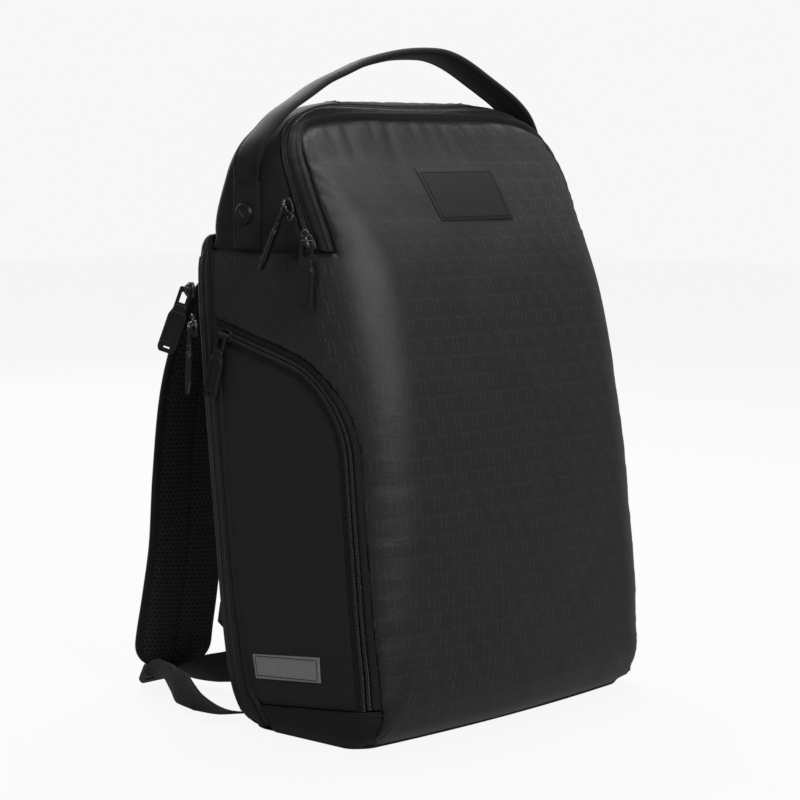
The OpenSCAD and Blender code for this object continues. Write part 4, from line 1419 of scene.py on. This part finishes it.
def plate(outline, holes, thickness, bevel):
    """A flat part with holes, cut from a sheet and rounded along its edges."""
    curve = bpy.data.curves.new("plate", "CURVE")
    curve.dimensions = "2D"
    curve.fill_mode = "BOTH"
    curve.extrude = max(thickness / 2 - bevel, 0.01) * MM
    curve.bevel_depth = bevel * MM
    curve.bevel_resolution = 2
    for points in [outline] + list(holes):
        line = curve.splines.new("POLY")
        line.points.add(len(points) - 1)
        for point, (x, y) in zip(line.points, points):
            point.co = (x * MM, y * MM, 0, 1)
        line.use_cyclic_u = True
    temp = bpy.data.objects.new("plate_outline", curve)
    bpy.context.scene.collection.objects.link(temp)
    bpy.context.view_layer.update()
    mesh = bpy.data.meshes.new_from_object(temp.evaluated_get(bpy.context.evaluated_depsgraph_get()))
    bpy.data.objects.remove(temp)
    return np.array([v.co for v in mesh.vertices]) / MM, [tuple(p.vertices) for p in mesh.polygons]


def round_outline(points, radius, n=4):
    """An outline with its corners rounded."""
    points = np.array(points, float)
    out = []
    for i, p in enumerate(points):
        a, b = points[i - 1] - p, points[(i + 1) % len(points)] - p
        r = min(radius, np.linalg.norm(a) / 2.2, np.linalg.norm(b) / 2.2)
        start, end = p + unit(a) * r, p + unit(b) * r
        for k in np.linspace(0, 1, n + 1):
            out.append((1 - k) ** 2 * start + 2 * k * (1 - k) * p + k * k * end)
    return [tuple(p) for p in out]


def both_sides(half):
    """An outline from its right half, mirrored to the left. It starts at the left's foot."""
    left = [(-x, y) for x, y in half]
    return left[:1] + half + left[:0:-1]


def rect(x0, x1, y0, y1, radius):
    """A rectangle's outline with round corners."""
    return round_outline([(x0, y0), (x1, y0), (x1, y1), (x0, y1)], radius)


def joined(parts):
    """Several (vertices, faces) as one."""
    verts, faces, count = [], [], 0
    for v, f in parts:
        verts.append(np.asarray(v))
        faces += [tuple(i + count for i in face) for face in f]
        count += len(v)
    return np.vstack(verts), faces


def torus(centre, axis, radius, wire, n=28, m=10):
    """A ring of round wire about an axis."""
    axis = unit(np.array(axis, float))
    side = unit(np.cross(axis, [0.3, 0.5, 0.8]))
    up = np.cross(axis, side)
    a = turns(n)[:, None]
    ring = side * np.cos(a) + up * np.sin(a)
    rows = [np.array(centre) + ring * (radius + wire * math.cos(b)) + axis * wire * math.sin(b)
            for b in turns(m)]
    return np.vstack(rows), grid_faces(m, n, wrap_m=True, wrap_n=True)


def box_round(x0, x1, y0, y1, z0, z1, bevel=0.5):
    """A block with rounded edges."""
    verts, faces = plate(rect(x0, x1, y0, y1, bevel * 2), [], z1 - z0, bevel)
    return verts + [0, 0, (z0 + z1) / 2], faces


def rod(half, n, y, z, ry, rz):
    """A round or oval rod along X, through (y, z)."""
    xs = np.linspace(-half, half, n)
    rows = [[[x, y + ry * math.cos(a), z + rz * math.sin(a)] for x in xs] for a in turns(12)]
    return loft(rows)[:2]


def puller_parts():
    """A cast puller that hangs along +Y from a bar on X: eye, neck, step and recessed panel."""
    shape = both_sides([(4.3, -1.6), (4.3, 15), (6.2, 20), (6.2, 44.4), (4.8, 47)])
    holes = [rect(-2.7, 2.7, 1.4, 10.2, 1.2), rect(-2.9, 2.9, 42.6, 44.8, 0.9)]
    body = plate(round_outline(shape, 1.2), holes, 1.9, 0.55)
    rim = round_outline(both_sides([(4.0, 17.2), (5.5, 20.6), (5.5, 41)]), 1.0)
    recess = round_outline(both_sides([(3.0, 19.2), (4.2, 21.8), (4.2, 39.6)]), 0.7)
    collar = box_round(-3.9, 3.9, 12.0, 16.4, -1.3, 1.3, 0.4)
    return joined([body, plate(rim, [recess], 3.1, 0.4), collar, rod(3.6, 6, 0, 0, 0.95, 0.95)])


def slider_parts(eyelet):
    """A zip slider on its tape: a two-lobed body, a bridge that the puller's bar passes through,
    and for a lockable slider an eyelet on its nose. +Y runs along the zip, +Z out of it."""
    lobes = round_outline([(-3.4, -5.2), (3.4, -5.2), (4.3, 0), (3.8, 4.4), (1.2, 5.4), (0, 4.2), (-1.2, 5.4),
                           (-3.8, 4.4), (-4.3, 0)], 1.6)
    body = plate(lobes, [], 2.6, 0.7)
    arch = [[0, -4.4, 0.4], [0, -4.2, 2.6], [0, -2.6, 4.2], [0, 0, 4.8], [0, 2.6, 4.2], [0, 4.0, 2.4],
            [0, 4.2, 0.4]]
    line = spline(arch, 26)
    tangent = unit(np.gradient(line, axis=0))
    up = np.cross(tangent, [1.0, 0, 0])
    rows = [line + np.array([1.0, 0, 0]) * 1.5 * math.cos(a) + up * 0.75 * math.sin(a)
            for a in turns(12)]
    parts = [body, loft(rows)[:2]]
    if eyelet:
        parts.append(torus((0, -7.6, 0.8), (0, 0.25, 1), 2.3, 0.75))
        parts.append(box_round(-1.3, 1.3, -6.4, -4.6, -0.2, 1.4, 0.3))
    return joined(parts)


def put(parts, x, y, z, origin):
    """Parts moved so that their own axes lie along x, y and z, from this origin."""
    verts, faces = parts
    return np.asarray(verts) @ np.array([x, y, z]) + origin, faces


# For each slider: its puller's pivot, way down and width direction, as in the frame, the way that
# its zip runs and faces, and whether it has a lock's eyelet. The right door's are the left's, mirrored.
SLIDERS = {
    ("main", "upper"): ((-156.5, -17, 376), (-0.16, 0.33, -0.93), (-0.85, -0.5, -0.03),
                        (0, 0.4, 0.92), (-1, -0.25, 0.1), True),
    ("main", "lower"): ((-154.5, -36.5, 351), (-0.05, 0.04, -1), (0.53, -0.85, 0),
                        (0, -0.42, -0.91), (-1, -0.45, 0.15), True),
    ("rear", "upper"): ((-157, 84, 314), (-0.25, 0.22, -0.95), (0.72, -0.69, 0),
                        (0, 0.09, 1), (-1, 0.35, 0), False),
    ("rear", "lower"): ((-155, 83, 286), (-0.03, 0.02, -1), (0.73, 0.68, 0),
                        (0, -0.1, -1), (-1, 0.5, 0), True),
    ("door", "left"): ((-152.8, 51, 283), (-0.06, 0.22, -0.97), (0, -0.97, -0.22),
                       (0, 0.97, 0.25), (-1, 0, 0), False),
}
SLIDERS["door", "right"] = SLIDERS["door", "left"]
PIVOT_HEIGHT = 4.0


def squared(vector, axis):
    """The direction of a vector, turned square to an axis."""
    vector = unit(np.array(vector, float))
    return unit(vector - (vector @ axis) * axis)


def zip_hardware():
    """Each slider with its puller, each on its own body."""
    for (zipper, end), (pivot, down, width, track, out, eyelet) in SLIDERS.items():
        right = end == "right"
        down, track = unit(np.array(down, float)), unit(np.array(track, float))
        width, out = squared(width, down), squared(out, track)
        puller = put(puller_parts(), width, down, np.cross(width, down), pivot)
        slider = put(slider_parts(eyelet), np.cross(track, out), track, out, pivot - out * PIVOT_HEIGHT)
        for kind, (verts, faces) in (("puller", puller), ("slider", slider)):
            body = f"{zipper}_{kind}_{end}"
            make(f"{body}_cast", verts * [-1 if right else 1, 1, 1], faces, [METAL], body, "gunmetal",
                 replaces=(body,), flip=right, crease=38)


# ---------------------------------------------------------------- straps

# Left strap, its webbing and the loose tail: the points of each route from the top or from the
# lock, with the lean of the webbing's face along it, in degrees
STRAP = [[-57, 93.5, 323], [-62, 114, 323], [-68, 130, 312], [-75, 139, 294], [-82, 145, 268],
         [-90, 150, 225], [-93, 154, 165], [-95, 155, 115], [-97, 160, 75], [-98, 166, 42], [-98, 170, 14]]
WEB = [[-101, 179, 6], [-112, 164, 11], [-127, 144, 15.8], [-141, 118, 16.5], [-149, 92, 15.5],
       [-152, 68, 11], [-149, 47, 7.5]]
WEB_LEAN = [85, 60, 22, 6, 14, 48, 78]
TAIL = [[-97, 178, 9], [-92, 163, 11], [-84, 138, 16], [-78, 115, 22], [-80, 102, 38], [-92, 102, 54],
        [-105, 107, 68]]
TAIL_LEAN = [84, 60, 25, 12, 30, 50, 55]
LOCK = np.array([-98, 182, 11])


def mirrored(verts, side):
    """Points of the left strap, moved to this side."""
    return np.asarray(verts) * [-side, 1, 1]


def padded_strap(name, side):
    """A shoulder strap: a curved foam band with a fabric face, a mesh underside, a bound edge
    and a stitched rib down the middle of the mesh."""
    line = spline(STRAP, 150)
    along = lengths(line)
    whole = along[-1]
    tangent = unit(np.gradient(line, axis=0))
    turn = np.radians(np.interp(along / whole, [0, 0.25, 0.6, 1], [0, 4, 10, 20]))
    x_axis = np.stack([np.cos(turn), -np.sin(turn), 0 * turn], 1)
    normal = unit(np.cross(x_axis, tangent))
    width = unit(np.cross(tangent, normal))
    width = width * np.where(width[:, :1] < 0, -1, 1)
    left = whole - along
    half = 32 * np.interp(along, [0, 16, 60, whole], [0.8, 0.92, 1, 1])
    half *= np.clip(1 - (1 - np.clip(left / 24, 0, 1)) ** 2.4, 0.08, 1) ** (1 / 2.4)
    fat = np.interp(along, [0, 14, 60, whole - 14, whole], [0.55, 0.8, 1, 1, 0.6])
    bend = ("shell", f"strap_{name}", (57 * side, 94, 323), (62 * side, 112, 323))

    def path(d, t):
        wrinkle = 0.25 * wave(along, 16, 61) * (abs(d) < 0.9)
        return line + width * (half * d)[:, None] + normal * (t * fat + wrinkle * np.sign(t))[:, None]
    face = [(1, 0), (0.99, 1.6), (0.94, 2.7), (0.86, 3.1), (0.8, 3.9), (0.6, 4.8), (0.3, 5.2)]
    face = [(-d, t) for d, t in face] + [(0, 5.3)] + face[::-1]
    under = [(0.99, -1.6), (0.94, -2.6), (0.84, -2.9), (0.74, -3.9), (0.5, -4.9), (0.25, -5.1), (0.06, -4.6)]
    under += [(0, -3.6)] + [(-d, t) for d, t in reversed(under)]
    verts, faces, _ = loft([path(d, t) for d, t in face + under])
    verts = mirrored(verts, side)
    n = len(line)
    rows = np.repeat(np.array([d for d, _ in face + under]), n) * 32
    uv = np.stack([rows, np.tile(along, len(face + under))], 1)
    mesh_from, mesh_to = len(face) + 1, len(face) + len(under) - 4
    kinds = [int(mesh_from <= k // (n - 1) <= mesh_to) for k in range(len(faces))]
    strap = make(f"shoulder_strap_foam_{name}", verts, faces, [SOFTSHELL, MESH], None, "air_mesh",
                 replaces=(f"shoulder_strap_{name}",), uv=uv, kinds=kinds, bend=bend, flip=side > 0)
    rows = ((-0.89, 3.0), (0.89, 3.0), (-0.84, -2.95), (0.84, -2.95), (0.0, -3.75))
    lines = [(path(d, t), path(d, t * 1.3)) for d, t in rows]
    lines = [(mirrored(p[4:-6], side), mirrored(q[4:-6], side)) for p, q in lines]
    edge, low, high, steps = 0.4, int(0.875 * n), int(0.94 * n), 17
    ds = np.linspace(-edge, edge, steps)
    skins = [np.array([path(d, t) for d in ds]) for t in (-4.9, -6.2)]
    box_and_cross = [(0, low), (-1, low), (-1, high), (0, high), (0, low), (-1, high), (-1, low), (0, high)]
    for (c0, i0), (c1, i1) in zip(box_and_cross, box_and_cross[1:]):
        columns = np.linspace(c0 % steps, c1 % steps, steps).astype(int)
        rows = np.linspace(i0, i1, steps).astype(int)
        lines.append([mirrored(skin[columns, rows], side) for skin in skins])
    stitches(f"shoulder_strap_stitching_{name}", lines, THREAD, None, "air_mesh", bend=bend)


def band_rows(points, leans, width, thickness=1.7, n=90):
    """A flat band along a route whose lean turns from standing on edge (0) to lying (90)."""
    line = spline(points, n)
    lean = np.radians(np.interp(np.linspace(0, 1, n), np.linspace(0, 1, len(leans)), leans))
    tangent = unit(np.gradient(line, axis=0))
    flat = unit(np.cross(tangent, [0, 0, 1]))
    upright = np.cross(flat, tangent)
    wide = np.cos(lean)[:, None] * upright + np.sin(lean)[:, None] * flat
    thin = np.cross(tangent, wide)
    w, t = width / 2, thickness / 2
    profile = [(-w, -t * 0.4), (-w, t * 0.4), (-w + 0.6, t)]
    profile += [(k, t) for k in np.linspace(-w + 2, w - 2, 7)]
    profile += [(w - 0.6, t), (w, t * 0.4), (w, -t * 0.4), (w - 0.6, -t)]
    profile += [(k, -t) for k in np.linspace(w - 2, -w + 2, 7)] + [(-w + 0.6, -t)]
    cup = 0.9

    def row(a, b):
        sag = cup * (1 - (a / w) ** 2) * np.sin(np.linspace(0, math.pi, n)) * wave(lengths(line), 60, 71)
        return line + wide * a + thin * (b + sag)[:, None]
    return [row(a, b) for a, b in profile]


def strap_webbing(name, side):
    """The webbing from the bag to the ladder lock, and the loose tail that hangs from it."""
    verts, faces, uv = loft(band_rows(WEB, WEB_LEAN, 30))
    bend = ("shell", f"strap_{name}", (150 * side, 60, 12), (104 * side, 172, 8))
    make(f"adjuster_webbing_{name}", mirrored(verts, side), faces, [WEBBING], None, "webbing",
         replaces=(f"webbing_{name}",), uv=uv, bend=bend, flip=side > 0)
    verts, faces, uv = loft(band_rows(TAIL, TAIL_LEAN, 26))
    make(f"webbing_tail_loop_{name}", mirrored(verts, side), faces, [WEBBING], f"strap_{name}", "webbing",
         replaces=(f"webbing_tail_{name}",), uv=uv, flip=side > 0)


def ladder_lock(name, side):
    """A moulded four-bar ladder lock."""
    outline = round_outline([(-19, -8), (19, -8), (19, 6), (16.5, 9), (-16.5, 9), (-19, 6)], 2.0)
    holes = [rect(-16, 16, y, y + 2.6, 0.9) for y in (-5.6, -0.6, 4.4)]
    body, lip = plate(outline, holes, 3.4, 0.9), rod(17.4, 12, -7.2, 1.6, 1.5, 1.1)
    teeth = [box_round(x - 0.5, x + 0.5, -3.0, -0.8, -2.3, 2.3, 0.2) for x in np.arange(-13, 14, 2.6)]
    a = math.radians(-62)
    verts, faces = put(joined([body, lip] + teeth), [1, 0, 0], [0, math.cos(a), math.sin(a)],
                       [0, -math.sin(a), math.cos(a)], LOCK)
    make(f"ladder_lock_moulded_{name}", mirrored(verts, side), faces, [PLASTIC], f"lock_{name}", "plastic",
         replaces=(f"ladder_lock_{name}",), flip=side > 0, crease=35)


def straps():
    """Both shoulder straps, with their webbing and locks."""
    for name, side in SIDES:
        padded_strap(name, side)
        strap_webbing(name, side)
        ladder_lock(name, side)


# ---------------------------------------------------------------- studio

def aim(obj, target):
    """Turns a lamp or a camera to face a place."""
    obj.rotation_euler = (Vector(target) - obj.location).to_track_quat("-Z", "Y").to_euler()


def softbox(name, location, target, size, power):
    """A rectangular lamp that the camera doesn't see."""
    light = bpy.data.lights.new(name, "AREA")
    light.shape = "RECTANGLE"
    light.size, light.size_y = size
    light.energy = power
    lamp = bpy.data.objects.new(name, light)
    lamp.location = location
    lamp.visible_camera = False
    bpy.context.scene.collection.objects.link(lamp)
    aim(lamp, target)


def studio():
    """A pale sweep of floor and sky, brighter to the camera than to the bag, and four softboxes."""
    world = bpy.data.worlds.new("studio")
    world.use_nodes = True
    tree = world.node_tree
    tree.nodes["Background"].inputs["Color"].default_value = (1, 1, 1, 1)
    seen = tree.nodes.new("ShaderNodeLightPath").outputs["Is Camera Ray"]
    strength = tree.nodes.new("ShaderNodeMapRange")
    tree.links.new(seen, strength.inputs["Value"])
    strength.inputs["To Min"].default_value = 0.2
    strength.inputs["To Max"].default_value = 0.93
    tree.links.new(strength.outputs["Result"], tree.nodes["Background"].inputs["Strength"])
    bpy.context.scene.world = world
    bpy.context.scene.view_settings.view_transform = "Standard"
    mesh = bpy.data.meshes.new("studio_floor")
    mesh.from_pydata([(-6, -6, 0), (6, -6, 0), (6, 6, 0), (-6, 6, 0)], [], [(0, 1, 2, 3)])
    floor = bpy.data.objects.new("studio_floor", mesh)
    pale = Nodes("studio_floor_paper", 0.9, specular=0.0)
    pale.colour((0.04, 0.04, 0.04))
    pale.shader.inputs["Emission Color"].default_value = (1, 1, 1, 1)
    seen = pale.add("ShaderNodeLightPath").outputs["Is Camera Ray"]
    glow = pale.add("ShaderNodeMapRange", Value=seen, To_Min=0.25, To_Max=0.905)
    pale.feed(pale.shader.inputs["Emission Strength"], glow.outputs["Result"])
    mesh.materials.append(pale.done())
    bpy.context.scene.collection.objects.link(floor)
    target = (0, 0, 0.25)
    softbox("front_softbox", (-0.45, -2.2, 1.7), target, (1.0, 0.9), 42)
    softbox("top_softbox", (0.5, 0.35, 2.1), (0, 0, 0.4), (1.6, 1.4), 55)
    softbox("back_softbox", (0.9, 2.3, 1.3), target, (1.8, 1.6), 40)
    softbox("left_softbox", (-2.2, -0.1, 0.8), target, (0.9, 1.5), 2.5)


def camera():
    """A long lens in front of the left side, a little above the middle."""
    data = bpy.data.cameras.new("photo_camera")
    data.lens, data.sensor_width = 107, 36
    cam = bpy.data.objects.new("photo_camera", data)
    azimuth, elevation, distance = math.radians(-47.4), math.radians(6.0), 1.786
    target = Vector((-0.009, 0.010, 0.228))
    away = Vector((math.sin(azimuth) * math.cos(elevation), -math.cos(azimuth) * math.cos(elevation),
                   math.sin(elevation)))
    cam.location = target + away * distance
    bpy.context.scene.collection.objects.link(cam)
    aim(cam, target)
    bpy.context.scene.camera = cam


camera()
front_fabric()
for side_name, sign in SIDES:
    shoulder_fabric(side_name, sign)
    side_panel(side_name, sign)
    base_side(side_name, sign)
    door_zip(side_name, sign)
side_tag()
lid_trim()
top_shell()
patch()
base_panel()
seam_cords()
rear_compartment()
back_pads()
boards()
carry_handle()
zip_hardware()
straps()
studio()
